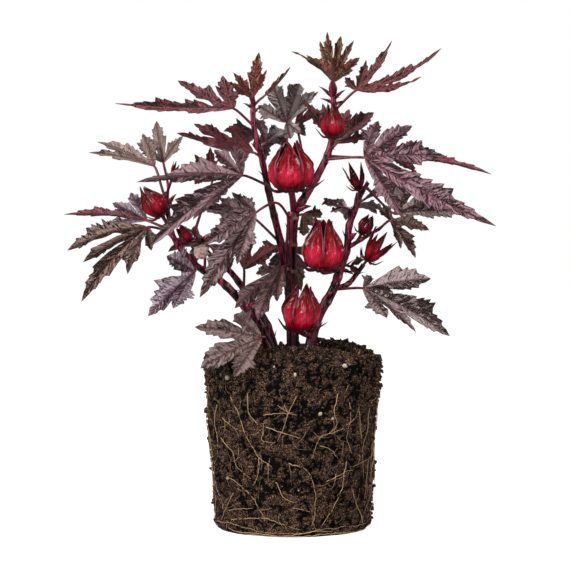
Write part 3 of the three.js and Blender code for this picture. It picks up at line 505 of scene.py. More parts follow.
perlite = Heap()
grains_placed = [(front_of_ball(across, up, 1.0), size) for across, up, size in FRONT_PERLITE]
for _ in range(STREWN_PERLITE):
    spot, out = soil_spot(soil_rng)
    if spot[1] > BEHIND_FRONT:
        grains_placed.append((spot + out * 0.3, soil_rng.uniform(*STREWN_SIZES)))
for spot, size in grains_placed:
    perlite.add(uneven_lump(soil_rng, size, 0.8, 1.1, (1, 0.85, 0.8)) + spot, LUMP_FACES)
perlite.piece("perlite_grains", [perlite_paint()])

# Roots: pale fine roots that ran down between soil and pot, and in a ring round the foot of the ball.
# Each is a thin round thread laid on the soil; the main ones in front follow the ones that show.
FRONT_ROOTS = [
    [(3, 118), (-2, 103), (-7, 90), (-13, 77)],
    [(-25, 101), (-12, 102), (3, 101)],
    [(-23, 90.5), (-9.5, 85), (6, 80)],
    [(-54, 117), (-44.5, 97), (-39, 80), (-29, 62), (-18, 54)],
    [(-29, 62), (-29, 47), (-33, 37)],
    [(-62, 98), (-53, 91), (-44.5, 86)],
    [(-62, 80.5), (-52, 67), (-48, 53.5), (-35.5, 43.5)],
    [(-53.5, 44.5), (-42, 35.5), (-33, 25.5), (-24, 7)],
    [(59, 109), (53.5, 97), (41, 88.5), (26, 83), (21, 77), (16, 61.5)],
    [(23, 73), (32, 69), (39, 61.5)],
    [(-3, 57), (11, 50), (17.5, 37), (20, 25.5), (18.5, 6), (16, 0)],
    [(46, 59), (42, 38), (39, 25.5), (29, 6), (25.5, 0)],
    [(57.5, 104), (60, 64), (60, 44)],
    [(70, 113), (66, 94), (60, 70)],
    [(51, 33), (56, 20), (62.5, 0.5)],
    [(29, 40), (41, 47), (51, 51)],
    [(-53.5, 6), (-27, 7), (-9.5, 2), (6, -3)],
    [(-57, -2), (-27, -6), (-2, -7), (17.5, -4), (43.5, -4), (62, -3)],
    [(-56, 14), (-34, 16.5)],
    [(0, 16), (15, 13)],
    [(-66, 42), (-61.5, 15)],
    [(-25.5, 86), (-26.5, 78), (-15, 76)],
    [(-40, 120), (-38, 104), (-30, 92)],
    [(38, 120), (33, 104), (36, 92), (30, 84)],
    [(48, 112), (50, 96), (47, 80), (50, 66)],
    [(66, 60), (62, 40), (64, 18)],
    [(-66, 110), (-68, 90), (-64, 66)],
    [(-50, 30), (-58, 18), (-64, 6)],
    [(-14, 40), (-8, 26), (4, 20)],
]
ROUND_ROOTS = 70
FINE_ROOTS = 190
FOOT_RINGS = ((1.6, 0.3), (6.5, 0.22))
ROOT_STEP = 1.6
ROOT_SIDES = 5
ROOT_WANDER = 0.28
ROOT_LIFT = 1.1
ROOT_TUCK = 2.0
ROOT_ABOVE_FLOOR = 0.02
FRONT_ROOT_RADIUS = 0.3


def root_paint():
    paint = Paint("pale_root")
    colour = paint.blend(paint.share("tone"), (0.28, 0.14, 0.06), (0.92, 0.62, 0.34))
    dirty = paint.blend(paint.ramp(paint.noise(160, 3), 0.55, 0.75), colour, (0.12, 0.07, 0.04))
    return paint.finish(dirty, {"Roughness": 0.55}, paint.noise(2200, 1), 0.0002)


roots = Heap()


def lay_root(knots, thick, rng, tone):
    """Lays one root on the ball through places given as angle and height."""
    line = smooth_line([(angle * BALL_RIM_RADIUS, height) for angle, height in knots], ROOT_STEP)
    wander = np.cumsum(rng.normal(0, ROOT_WANDER, line.shape), axis=0)
    wander -= np.linspace(0, 1, len(line))[:, None] * wander[-1]
    line = line + wander
    angles, heights = line[:, 0] / BALL_RIM_RADIUS, np.clip(line[:, 1], 0.6, BALL_RIM_HEIGHT)
    lifts = ROOT_LIFT + 0.5 * np.sin(np.linspace(0, rng.uniform(3, 9), len(line)) + rng.uniform(0, 6))
    radius = ball_radius(angles, heights) + lifts - ROOT_TUCK * np.exp(-heights / FOOT_HEIGHT)
    centres = np.stack([radius * np.cos(angles), radius * np.sin(angles), heights], axis=1)
    radii = thick * np.linspace(1.0, 0.55, len(line))
    points, faces = tube_along(centres, radii, ROOT_SIDES)
    points[:, 2] = np.maximum(points[:, 2], ROOT_ABOVE_FLOOR)
    roots.add(points, faces, tone=tone)


root_rng = np.random.default_rng(29)
for places in FRONT_ROOTS:
    knots = []
    for across, up in places:
        spot = front_of_ball(across, up)
        knots.append((math.atan2(spot[1], spot[0]), spot[2]))
    lay_root(knots, FRONT_ROOT_RADIUS, root_rng, root_rng.uniform(0.7, 1.0))
for number in range(ROUND_ROOTS):
    angle = -0.35 + (math.pi + 0.7) * (number + root_rng.random()) / ROUND_ROOTS
    top = root_rng.uniform(50, 135)
    foot = max(2.0, top - root_rng.uniform(25, 110))
    middle = (angle + root_rng.normal(0, 0.1), (top + foot) / 2)
    lay_root([(angle, top), middle, (angle + root_rng.normal(0, 0.22), foot)],
             root_rng.uniform(0.2, 0.36), root_rng, root_rng.uniform(0.35, 1.0))
for _ in range(FINE_ROOTS):
    angle = root_rng.uniform(0, 2 * math.pi)
    height = root_rng.uniform(2, 138)
    knots = [(angle, height)]
    heading = root_rng.uniform(-2.6, -0.5)
    for _ in range(2):
        heading += root_rng.normal(0, 0.5)
        reach = root_rng.uniform(3, 11)
        angle += math.cos(heading) * reach / BALL_RIM_RADIUS
        height = min(140.0, max(1.0, height + math.sin(heading) * reach))
        knots.append((angle, height))
    lay_root(knots, root_rng.uniform(0.12, 0.22), root_rng, root_rng.uniform(0.2, 0.9))
for height, thick in FOOT_RINGS:
    start = root_rng.uniform(0, 6)
    ring = [(start + turn, height + 1.6 * math.sin(5 * turn + start)) for turn in np.linspace(0, 5.6, 12)]
    lay_root(ring, thick, root_rng, 0.9)
roots.piece("roots", [root_paint()])

# Stems: woody crimson shoots that rise from one crown and branch, thicker at each node where a leaf grew.
# They are round, lightly ribbed and warty; old leaf scars show pale at the nodes. Each shoot is given by
# the places that it runs through, as (across, up, depth), and by its radius at its foot and at its end.
STEMS = {
    "stem_centre": [
        ([(1, 144, 2), (-0.5, 190, 2), (-1.5, 250, -2), (0.5, 284, -4)], 6, 5.2),
        ([(-0.8, 196, 3), (-5, 222, 8), (-9.5, 250, 12), (-20, 295, 8), (-27.5, 331, 3), (-35, 362, 0),
          (-35.5, 384, 0)], 4, 2.3),
        ([(0.5, 281, -4), (14, 302, -1), (30, 331.5, 2), (34.5, 346, 2), (37, 366, 2), (36.5, 392, 2)],
         4, 2.3),
    ],
    "stem_right": [
        ([(12, 144, -10), (22, 187, -8), (36.5, 214, -4), (43, 232.5, 0), (49, 251.5, 2), (51, 272, 2),
          (57, 288, 2), (59.5, 301, 0)], 5.6, 2.6),
        ([(57, 289, 2), (62, 300, 6), (68, 310, 8)], 2.4, 1.6),
        ([(37, 214.5, -4), (50, 219, -10), (60, 231, -13), (64, 236.5, -14)], 2.6, 2),
        ([(49, 251, 2), (62, 259, 2), (79.5, 269.5, 2)], 2.2, 1.5),
    ],
    "stem_low_left": [
        ([(-14, 144, -16), (-31, 182, -20), (-38, 193, -22), (-65, 222, -26), (-87, 236, -26),
          (-106, 259, -22), (-112, 284, -18), (-113, 302, -15)], 5, 1.8),
        ([(-99, 250, -23.5), (-108, 262, -20), (-117, 271, -16)], 2.6, 2),
    ],
    "stem_behind_left": [
        ([(-12, 144, 14), (-24, 184, 16), (-38, 205, 16), (-56, 230, 12), (-73, 244, 4), (-84, 258, -2),
          (-89, 270, -4)], 4.4, 1.8),
    ],
}
NODE_SPACING = 24
NODE_SWELL = 0.14
NODE_LENGTH = 2.6
NODE_START = 9
RIBS = 5
RIB_HEIGHT = 0.035
OLD_BARK_UP_TO = 165
BARK_CHANGE = 150
STREAK_SQUEEZE = 0.05
FRESHNESS = {"stem_centre": 0.08, "stem_right": 0.45, "stem_low_left": 0.3, "stem_behind_left": 0.45}


def stem_paint():
    """Young bark is crimson and old bark nearly black, both with long streaks up the stem."""
    paint = Paint("crimson_stem")
    upright = {"Vector": paint.place(), "Scale": (1, 1, STREAK_SQUEEZE)}
    streaks = paint.noise(420, 4, place=paint.add("ShaderNodeMapping", upright))
    light_share = paint.ramp(streaks, 0.42, 0.68)
    fresh = paint.blend(light_share, (0.008, 0.0003, 0.0015), (0.52, 0.035, 0.1))
    old = paint.blend(light_share, (0.0015, 0.0004, 0.0008), (0.085, 0.011, 0.024))
    bark = paint.blend(paint.share("fresh"), old, fresh)
    scarred = paint.blend(paint.share("scar"), bark, (0.5, 0.33, 0.2))
    warts = paint.noise(650, 2)
    speckled = paint.blend(paint.ramp(warts, 0.72, 0.8), scarred, (0.3, 0.1, 0.13))
    own = {"Roughness": 0.24, "Specular IOR Level": 0.22, "Coat Weight": 0.3, "Coat Roughness": 0.1}
    return paint.finish(speckled, own, warts, 0.0007, 0.8)


crimson_stem = stem_paint()
STEM_SIDES = 22
STEM_STEP = 1.3
stem_heaps, stem_lines = {}, {}
stem_rng = np.random.default_rng(5)
for stem_name, shoots in STEMS.items():
    heap = Heap()
    for places, foot_radius, end_radius in shoots:
        centres = smooth_line([seen_from_front(*place) for place in places], STEM_STEP)
        along = np.concatenate([[0], np.cumsum(np.linalg.norm(np.diff(centres, axis=0), axis=1))])
        phase = (along + NODE_START) / NODE_SPACING
        near_node = np.exp(-((phase - np.round(phase)) * NODE_SPACING / NODE_LENGTH) ** 2)
        taper = foot_radius + (end_radius - foot_radius) * along / along[-1]
        angles = np.linspace(0, 2 * np.pi, STEM_SIDES, endpoint=False)
        ribs = 1 + RIB_HEIGHT * np.cos(RIBS * angles)
        radii = (taper * (0.97 + NODE_SWELL * near_node))[:, None] * ribs[None, :]
        radii = radii * (1 + stem_rng.normal(0, 0.01, radii.shape))
        points, faces = tube_along(centres, radii, STEM_SIDES)
        heights = points[:, 2]
        scarred_side = np.tile(np.sin(2 * angles + foot_radius), len(centres)) > 0.5
        scar = np.repeat(near_node ** 6, STEM_SIDES) * scarred_side
        fresh = np.clip((heights - OLD_BARK_UP_TO) / BARK_CHANGE + FRESHNESS[stem_name], 0, 1)
        heap.add(points, faces, fresh=fresh, scar=scar * 0.7)
        stem_lines.setdefault(stem_name, []).append((centres, phase, taper))
    stem_heaps[stem_name] = heap

# Buds and stipules: resting buds at the stems' nodes, each a small pointed spindle of crimson scales.
# They grow out of the stems, so they belong to the stem's piece and share its skin. Each is given by its
# place, by how far it reaches (across, up, depth), and by its radius.
BUDS = {
    "stem_centre": [
        ((-35.5, 382, 0), (-3, 12, -5), 2.6), ((-30, 338, 2), (-7, 7, -6), 2),
        ((3, 285, -6), (14, 4, -9), 3), ((-24, 312, 5), (8, 9, -5), 1.8), ((32, 338, 1), (9, 7, -6), 2.2),
        ((36.5, 390, 2), (-1, 13, -6), 4), ((36.5, 386, 2), (-13, 10, -8), 1.8),
        ((36.5, 381, 2), (-12, 4, -7), 1.5), ((36.5, 379, 2), (11, 4, -7), 1.5),
        ((-35.5, 376, 0), (-9, 5, -6), 1.4), ((-35.5, 372, 0), (8, 6, -6), 1.4),
        ((36.5, 384, 2), (11, 9, -9), 1.8), ((37, 368, 2), (-6, 8, 6), 1.8),
    ],
    "stem_right": [
        ((50, 258, 2), (8, 7, -7), 3), ((52, 276, 2), (-2, 11, -8), 2.2), ((59, 298, 0), (10, 8, 4), 1.8),
        ((43, 232, 0), (13, -5, -8), 2), ((30, 203, -6), (9, 9, -9), 2),
    ],
    "stem_low_left": [
        ((-112, 290, -17), (8, 10, -4), 2), ((-87, 238, -26), (-6, 9, -7), 2.2),
        ((-66, 224, -26), (5, 11, -8), 2), ((-40, 196, -22), (7, 8, -8), 1.8),
    ],
    "stem_behind_left": [
        ((-82, 256, -1), (9, 9, -5), 2.4), ((-58, 232, 12), (6, 11, 5), 2),
    ],
}
STIPULES_A_BUD = 3
STIPULE_TURN = 2.1
STIPULE_LENGTH = 5.5
STIPULE_SPREAD = 3.5
STIPULES_A_NODE = 2


def unit(vector):
    return vector / np.linalg.norm(vector)


def spindle(heap, root, tip, radius, sides=10, **shares):
    """A pointed body from root to tip, fattest a third of the way up."""
    share = np.linspace(0, 1, 12)
    bow = np.sin(np.pi * share)[:, None] * np.array([0, 0, 1.0])
    centres = root + share[:, None] * (tip - root) + bow
    radii = radius * np.interp(share, [0, 0.3, 0.65, 1], [0.85, 1.0, 0.6, 0.06])
    points, faces = tube_along(centres, radii, sides)
    heap.add(points, faces, **shares)


for stem_name, buds in BUDS.items():
    heap = stem_heaps[stem_name]
    for place, (across, up, depth), radius in buds:
        root = seen_from_front(*place)
        reach = np.array([across, depth, up], dtype=float)
        spindle(heap, root, root + reach, radius, fresh=1.0, scar=0.0)
        aside = unit(np.cross(reach, [0.2, 0.3, 1.0]))
        for number in range(STIPULES_A_BUD):
            turn = STIPULE_TURN * number
            spread = aside * math.cos(turn) + unit(np.cross(aside, reach)) * math.sin(turn)
            foot = root + reach * 0.15
            tip = foot + unit(reach) * STIPULE_LENGTH + spread * STIPULE_SPREAD
            spindle(heap, foot, tip, radius * 0.22, 5, fresh=0.7, scar=0.0)
    for centres, phase, taper in stem_lines[stem_name]:
        for index in range(6, len(centres) - 2):
            if math.floor(phase[index] + 0.5) == math.floor(phase[index - 1] + 0.5):
                continue
            way = unit(centres[index] - centres[index - 1])
            for _ in range(STIPULES_A_NODE):
                aside = stem_rng.normal(size=3)
                aside = unit(aside - way * (aside @ way))
                foot = centres[index] + aside * taper[index] * 0.8
                reach = way * stem_rng.uniform(3, 8) + aside * stem_rng.uniform(2, 4)
                spindle(heap, foot, foot + reach, stem_rng.uniform(0.35, 0.6), 5, fresh=0.15, scar=0.0)
    stem = heap.piece(stem_name + "_bark", [crimson_stem])
    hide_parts(stem_name)

# Leaves: a petiole carries a thin lobed blade, dark and glossy above and crimson below, with sawn edges.
# Main veins run from the petiole into each lobe and side veins leave them aslant, with the blade quilted
# between. The petiole grows out of its stem, and the blade is one sheet that spreads from its end.
USUAL_LEAF = dict(side="upper", arch=0.05, web=0.3, rough=1, red=0, red_lobes=())
# Start is on the stem, via on the petiole's way and base where the lobes part, each as (across, up, depth).
# A lobe is its tip, its width and, if it has one, its bend sideways as a share of its length. Side is the
# face that shows in front; a young leaf is the same on both, and sky is for leaves whose upper face looks up.
# Arch is how far a lobe rises over its length; web is how far up the shorter lobe a cleft may begin. Rough
# is how strongly the skin is puckered, and how far apart its painted light and shade lie. Tint leans the
# colour to brown and red to crimson; painted_sheen paints a lilac-grey sheen on the painted-light parts;
# red_lobes are redder than the rest.
LEAVES = [
    dict(name="leaf_top_left", side="under", start=(-34, 360, 0), base=(-53.5, 376.7, -10), arch=-0.05,
         tint=0.3, painted_sheen=0.2, red=0.5, lobes=[(-159, 381, -38, 19, 0.03), (-103, 401.5, 6, 24),
         (-62.5, 406, 34, 22)]),
    dict(name="leaf_shoot_left", side="young", start=(-35.5, 376, 0), base=(-36, 386, -7), arch=0.02,
         tint=0.5, rough=1.15, painted_sheen=0.15, red=0.8, lobes=[(-57, 400, -24, 9), (-53, 408.6, -16, 10),
         (-30, 427, -8, 15), (-23, 411, -20, 8)]),
    dict(name="leaf_shoot_right", side="young", start=(-35.5, 378, 0), base=(-30, 384, 5), arch=-0.05,
         tint=0.4, rough=1.15, painted_sheen=0.15, red=0.8, lobes=[(-12, 405.5, 26, 9), (-2, 413.6, 8, 12, -0.06)]),
    dict(name="leaf_left_maroon", web=0.75, side="under", start=(-28.5, 333, 4), base=(-35, 337, 13),
         arch=-0.04, tint=0, painted_sheen=0.15, red=0.9, lobes=[(-80.5, 345, -16, 17), (-104, 354.5, 4, 22, 0.03),
         (-88.6, 362.7, 26, 26), (-56, 361, 32, 20)]),
    dict(name="leaf_behind_leader", start=(-30, 342, 4), base=(-24, 346, 22), arch=0.06, tint=0.2, painted_sheen=0.3,
         red=0.1, lobes=[(-34, 369, 48, 16), (-9, 358, 60, 22), (-9, 345.5, 30, 15)]),
    dict(name="leaf_top_centre", web=0.75, start=(3, 287, -4), via=(-3, 330, 22), base=(-5, 364, 30),
         tint=0.7, rough=0.7, painted_sheen=1.9, lobes=[(-31, 379, 40, 16), (-17, 399, 30, 26), (6, 399, 26, 28),
         (20, 392, 30, 16), (8, 354, 14, 10), (-1.5, 349.6, 12, 17)]),
    dict(name="leaf_centre_back", side="under", start=(10, 296, -2), via=(8, 340, 34), base=(3, 364, 40),
         tint=0.1, painted_sheen=0.1, red=0.9, lobes=[(23, 391.5, 46, 16), (33, 372, 70, 16), (12, 352, 84, 16)]),
    dict(name="leaf_tip_back", side="young", start=(36.5, 388, 2), base=(37, 402, 8), arch=0.03, tint=0.8,
         rough=1.2, painted_sheen=0.3, red=0.5, lobes=[(24.5, 437, 22, 9), (31, 445, 10, 13), (43.5, 441.5, 14, 13),
         (55, 437.5, 4, 9)]),
    dict(name="leaf_tip_front", side="young", start=(36.5, 386, 2), base=(36.5, 400, -8), tint=0.9,
         rough=1.15, painted_sheen=0.2, red=0.8, lobes=[(-1, 427.5, 6, 9, 0.04), (12.5, 424, -22, 15),
         (36, 422, -28, 9), (60.5, 422, -20, 14)]),
    dict(name="leaf_top_right", side="under", start=(37, 374, 2), base=(57.6, 393, -4), arch=-0.06,
         tint=0.5, painted_sheen=0.2, red=0.65, lobes=[(47, 404.5, 14, 10), (66, 420, 26, 12), (89, 437, 14, 14),
         (133.6, 430.5, -18, 14, 0.05), (115.6, 405, -44, 11, 0.04)]),
    dict(name="leaf_behind_calyx", web=0.5, side="under", start=(34.5, 346, 2), base=(36, 345.5, 17),
         arch=-0.02, tint=0.4, painted_sheen=0.3, red=0.45, lobes=[(8.5, 384.5, 6, 18, 0.05), (27, 381, 34, 15),
         (51, 376, 44, 17), (73, 373, 22, 30), (69, 352, 4, 15)]),
    dict(name="leaf_right_big", web=0.36, start=(30, 331, 2), base=(65, 332.5, -12), arch=0.06, tint=0.1,
         painted_sheen=0.5, red=0.35, lobes=[(77, 365.4, 6, 19), (107.5, 361, -4, 24), (138, 333.5, -22, 24),
         (183, 271, -52, 25, 0.04), (99.5, 278, -40, 19)]),
    dict(name="leaf_right_red", side="under", start=(31, 334, 2), via=(50, 333, 16), base=(88, 332, 20),
         arch=0.04, tint=0.1, painted_sheen=0.2, red=0.9, lobes=[(86, 356, 52, 18), (116, 345, 46, 20),
         (178.6, 317.5, 8, 15, -0.03), (112, 318, -4, 14)]),
    dict(name="leaf_right_olive", web=0.45, start=(66, 306, 7), base=(92, 282, 18), arch=0.07, tint=0.75,
         painted_sheen=0.8, lobes=[(106, 310, 30, 22), (135.5, 297, 26, 24), (167, 282, 8, 19)]),
    dict(name="leaf_right_small", web=0.4, start=(77, 267.5, 2), base=(88, 276, -6), tint=0.6, painted_sheen=0.3,
         lobes=[(72, 291, -8, 11), (81, 292, 2, 8), (123, 267.5, 2, 17), (110.7, 242.5, -18, 18),
         (97.6, 250.6, -24, 10)]),
    dict(name="leaf_right_low", web=0.5, start=(36.5, 214, -4), base=(64, 215, -22), arch=0.06, tint=0.5,
         painted_sheen=0.9, lobes=[(70.6, 226.5, -18, 12), (124.6, 223.6, -24, 32), (141.7, 172, -48, 32),
         (111, 176, -56, 15), (85, 188.5, -50, 26)]),
    dict(name="leaf_far_left", web=0.4, start=(-112.5, 290, -17), via=(-117, 304, -22),
         base=(-124, 324.5, -16), tint=0.8, rough=0.5, painted_sheen=0.65, red=0.1, lobes=[(-182.7, 337, -14, 13),
         (-175, 346.5, 4, 15), (-134.5, 354, 8, 15)]),
    dict(name="leaf_far_left_back", start=(-112.5, 293, -16.5), via=(-112, 308, -7), base=(-116, 328, -3),
         tint=0.7, rough=0.4, painted_sheen=0.6, red=0.1, lobes=[(-140, 346, 12, 11), (-122, 365.4, 16, 16),
         (-98.5, 351.8, 2, 13)]),
    dict(name="leaf_left_mid", web=0.4, red_lobes=(1,), start=(-116, 270, -16.5), base=(-131, 276, -10),
         tint=0.05, rough=0.9, painted_sheen=1.3, lobes=[(-167, 273, -14, 20), (-205, 281.5, 4, 13),
         (-162, 291.5, 16, 15), (-145.5, 301, 8, 15)]),
    dict(name="leaf_left_low", web=0.36, start=(-113.5, 267.5, -18), base=(-130, 270, -30), arch=0.08,
         tint=0.8, rough=1.4, painted_sheen=0.4, red=0.15, lobes=[(-202.5, 249, -40, 22, -0.03),
         (-188.5, 238.5, -46, 17), (-190, 203, -62, 26), (-148.4, 228, -66, 24), (-127, 249, -52, 14)]),
    dict(name="leaf_low_left", web=0.5, start=(-87, 236, -26), base=(-88, 230, -38), arch=0.07, tint=0,
         painted_sheen=1.35, lobes=[(-113.3, 244, -46, 24), (-130, 190, -62, 30), (-107.5, 197, -66, 24)]),
    dict(name="leaf_centre_left_big", web=0.36, start=(-23, 308, 6), base=(-45.5, 316.4, -28), arch=0.06,
         tint=0.3, painted_sheen=0.5, red=0.2, lobes=[(-52, 343, -18, 18), (-70.6, 339.5, -22, 20),
         (-113, 317, -40, 28), (-140, 310.5, -50, 15), (-128, 253, -74, 28), (-89.5, 277, -76, 20)]),
    dict(name="leaf_behind_big_left", side="under", start=(-88, 266, -3.5), via=(-80, 290, 12),
         base=(-72, 312, 18), arch=0.04, tint=0, painted_sheen=0.1, red=0.9, lobes=[(-99, 318, 26, 13),
         (-88, 335.5, 18, 12), (-74, 342, 12, 12), (-55, 326, 38, 12)]),
    dict(name="leaf_inner_left", start=(-11, 256, 12), base=(-36, 279, 20), tint=0.2, painted_sheen=0.5,
         lobes=[(-88, 287, 16, 20), (-66, 296, 34, 16), (-54.5, 301.5, 20, 14), (-44.5, 299, 34, 12)]),
    dict(name="leaf_drooping", web=0.4, start=(-1, 276, -4), via=(-15, 292, -32), base=(-33, 283, -48),
         arch=0.08, tint=0.35, painted_sheen=0.5, red=0.1, lobes=[(-47, 296, -42, 12), (-71.5, 288, -56, 20),
         (-80.5, 254, -78, 22), (-83.7, 206.5, -82.4, 30), (-50, 236.5, -81, 20)]),
    dict(name="leaf_red_inner", web=0.5, side="under", start=(-44, 212.5, 15), base=(-43.6, 232.6, 0),
         arch=0.04, tint=0.6, painted_sheen=0.1, red=0.8, lobes=[(-47, 262, 26, 12), (-34, 264, 2, 17),
         (-13.5, 252.5, -12, 20)]),
    dict(name="leaf_centre_low", web=0.5, start=(-1.5, 236, -1), base=(-9, 234, -24), arch=0.07, tint=0.4,
         painted_sheen=0.3, red=0.1, lobes=[(-33, 228, -34, 14), (-52, 197, -44, 24), (-31, 186, -56, 28),
         (-14, 203, -58, 16)]),
    dict(name="leaf_over_rim", web=0.6, start=(-24, 169.5, -18.5), base=(-28, 170.5, -50), tint=0.6,
         rough=0.75, painted_sheen=0.6, lobes=[(-52.6, 191.6, -46, 24), (-88, 180, -58, 24), (-83, 143, -74, 32),
         (-52.7, 135, -84, 22)]),
    dict(name="leaf_small_grey", start=(55, 284, 2), base=(46, 288, -8), arch=0.04, tint=0.3, painted_sheen=0.5,
         lobes=[(36.5, 295, -4, 9), (29.5, 290.5, -14, 12), (34, 283.5, -18, 8)]),
    dict(name="leaf_round_olive", web=0.6, side="under", start=(0.5, 280, -4), base=(9, 281.5, -3), tint=1,
         painted_sheen=0.2, lobes=[(27, 282, 10, 13), (25, 268, -2, 18), (10, 262, -6, 14)]),
    dict(name="leaf_small_dark", start=(44.5, 237, 0.5), base=(52, 235, -9), arch=0.04, tint=0.4, painted_sheen=0.1,
         red=0.2, lobes=[(65, 241, -24, 10), (60, 229, -26, 9)]),
    dict(name="leaf_back_left", side="sky", start=(-57, 231, 12), via=(-66, 246, 34), base=(-76, 254, 48),
         arch=0.1, tint=0.3, painted_sheen=0.4, red=0.1, lobes=[(-104, 268, 52, 16), (-112, 248, 88, 22),
         (-90, 236, 112, 24), (-64, 238, 104, 20)]),
    dict(name="leaf_back_right", side="sky", start=(50, 262, 2), via=(52, 276, 24), base=(54, 284, 40),
         arch=0.1, tint=0.4, painted_sheen=0.5, lobes=[(86, 300, 74, 20), (76, 282, 104, 24), (48, 276, 118, 26),
         (26, 290, 88, 18)]),
    dict(name="leaf_back_high", side="sky", start=(-31, 347, 2), via=(-30, 352, 26), base=(-30, 352, 44),
         arch=0.12, tint=0.2, painted_sheen=0.4, lobes=[(-62, 356, 66, 18), (-52, 338, 98, 22), (-26, 326, 116, 26),
         (-4, 338, 92, 18)]),
    dict(name="leaf_back_low", side="sky", start=(-7.5, 238, 10), via=(-6, 250, 30), base=(-4, 250, 46),
         arch=0.12, tint=0.6, painted_sheen=0.4, lobes=[(-34, 240, 74, 20), (-20, 216, 98, 24), (8, 212, 104, 26),
         (24, 236, 78, 18)]),
]

# Half-width of a lobe along its free length, as a share of its greatest half-width: at its start, and where
# it is greatest.
SHOULDER = 0.56
WIDEST = 0.35
LOBE_TAPER = 1.35
SHORT_LOBE = 72
FOLD = 0.22
DEEPEST_SINUS = 0.12
LONGEST_WEB = 0.75
CLEAR_OF_NEIGHBOUR = 0.88
PETIOLE_RADIUS = 1.2
PETIOLE_RUN = 6
PETIOLE_STEP = 1.6
PETIOLE_SIDES = 10
FOOT_SWELL = 0.35
END_THINNING = 0.25
BLADE_THICKNESS = 0.5
SHARPEST_SMOOTH = math.radians(60)
SIDE_VEIN_LEAN = 0.17
SIDE_VEIN_PITCH = 0.105
QUILT_HEIGHT = 0.06
MIDRIB_DEPTH = 0.5
MIDRIB_REACH = 1.1
WAVE_HEIGHTS = (0.5, 1.5)
WAVES_A_LOBE = (1.2, 2.4)
WAVE_FADES_IN = 0.15
CURL_IN = 0.1
CURL_OUT = 0.12
INSIDE_WEB = 9.0
WEB_BLEND = 0.16
WEB_CURVE = 0.55
VEINS_FADE_IN = 0.12
VEINS_FADE_OUT = 0.15
# Each half lobe is painted lighter or darker by up to this much, the two halves of a lobe opposite: painted
# light and shade.
HALF_PAINTED_LIGHT = 0.28
LOBE_RED = 0.5
WEB_ROWS = 8
ACROSS_HALF = np.array([0, 0.05, 0.15, 0.29, 0.45, 0.62, 0.8, 1.0])
# Teeth along a lobe's free edge: the places of their points, and how far out the edge lies along it.
LONG_TEETH = (0.09, 0.17, 0.25, 0.37, 0.47, 0.56, 0.69, 0.79, 0.89)
LONG_REACH = ((0, 0.98), (0.25, 1.2), (0.28, 0.78), (0.56, 1.3), (0.6, 0.76), (0.79, 1.1), (0.82, 0.85),
              (1, 1))
SHORT_TEETH = (0.12, 0.25, 0.39, 0.56, 0.72, 0.87)
SHORT_REACH = ((0, 0.98), (0.39, 1.18), (0.44, 0.72), (0.72, 1.12), (0.77, 0.8), (1, 1))
TOOTH_SHIFT = 0.01
TOOTH_CUT = 0.26
TOOTH_CUT_VARIES = (0.6, 1.3)
TOOTH_STANDS_OUT = 1.04
# From one point to the next: the share of the way, how much of the cut is left, and how far it leans ahead.
TOOTH = ((0.14, 1.0, 0.0), (0.45, 0.72, 0.0), (0.78, 0.3, 0.006), (1.0, 0.0, 0.02))


def lobe_outline(share):
    rise = SHOULDER + (1 - SHOULDER) * np.sin(np.pi / 2 * np.minimum(1, share / WIDEST))
    fall = 1 - np.clip((share - WIDEST) / (1 - WIDEST), 0, 1) ** LOBE_TAPER
    return rise * fall


def edge_rows(length, rng):
    """The rows along a lobe's free edge: the share of its length and the edge's reach, tooth by tooth."""
    teeth, reach = (SHORT_TEETH, SHORT_REACH) if length < SHORT_LOBE else (LONG_TEETH, LONG_REACH)
    places, scales = zip(*reach)
    shares, reaches, leans, last = [], [], [], 0.0
    for tooth in teeth:
        point = tooth + rng.uniform(-TOOTH_SHIFT, TOOTH_SHIFT)
        cut = TOOTH_CUT * rng.uniform(*TOOTH_CUT_VARIES)
        for part, drop, lean in TOOTH:
            share = last + (point - last) * part
            shares.append(share)
            reaches.append(np.interp(share, places, scales) * (TOOTH_STANDS_OUT - cut * drop))
            leans.append(lean)
        last = point
    return np.array(shares + [1.0]), np.array(reaches + [1.0]), np.array(leans + [0.0])


def lobes_of(leaf):
    base = seen_from_front(*leaf["base"])
    lobes = []
    for across, up, depth, width, *bend in leaf["lobes"]:
        reach = seen_from_front(across, up, depth) - base
        length = np.linalg.norm(reach)
        lobes.append(dict(width=width, bend=bend[0] if bend else 0.0, length=length, axis=reach / length))
    turns = [np.cross(a["axis"], b["axis"]) for a, b in zip(lobes, lobes[1:])]
    whole = unit(sum(turns))
    for number, lobe in enumerate(lobes):
        normal = whole.copy()
        for turn in turns[max(0, number - 1):number + 1]:
            normal += 0.5 * unit(turn)
        normal -= lobe["axis"] * (normal @ lobe["axis"])
        lobe["normal"] = unit(normal)
        lobe["side"] = np.cross(lobe["normal"], lobe["axis"])
    return base, lobes, whole


def midrib(base, lobe, share, arch):
    """Points on a lobe's main vein, which arches over and may bend to one side."""
    share = np.asarray(share, dtype=float)[..., None]
    swell = 4 * share * (1 - share)
    return (base + lobe["axis"] * lobe["length"] * share + lobe["normal"] * arch * lobe["length"] * swell
            + lobe["side"] * lobe["bend"] * lobe["length"] * swell)


def sinus_between(base, left, right, arch, web):
    """The valley between two lobes: its depth, and the line that both their blades share down to it."""
    cosine = float(np.clip(left["axis"] @ right["axis"], -1, 1))
    half_sine = math.sin(math.acos(cosine) / 2)
    shorter = min(left["length"], right["length"])
    apart = SHOULDER * (left["width"] + right["width"]) / 4 / half_sine
    reach = min(max(apart, DEEPEST_SINUS * shorter), web * shorter)
    way = unit(left["axis"] + right["axis"])
    normal = unit(left["normal"] + right["normal"])
    share = (reach / shorter) * np.linspace(0, 1, WEB_ROWS + 1)[:, None]
    line = base + way * shorter * share + normal * arch * shorter * 4 * share * (1 - share)
    return dict(reach=reach, line=line, spread=half_sine * CLEAR_OF_NEIGHBOUR)


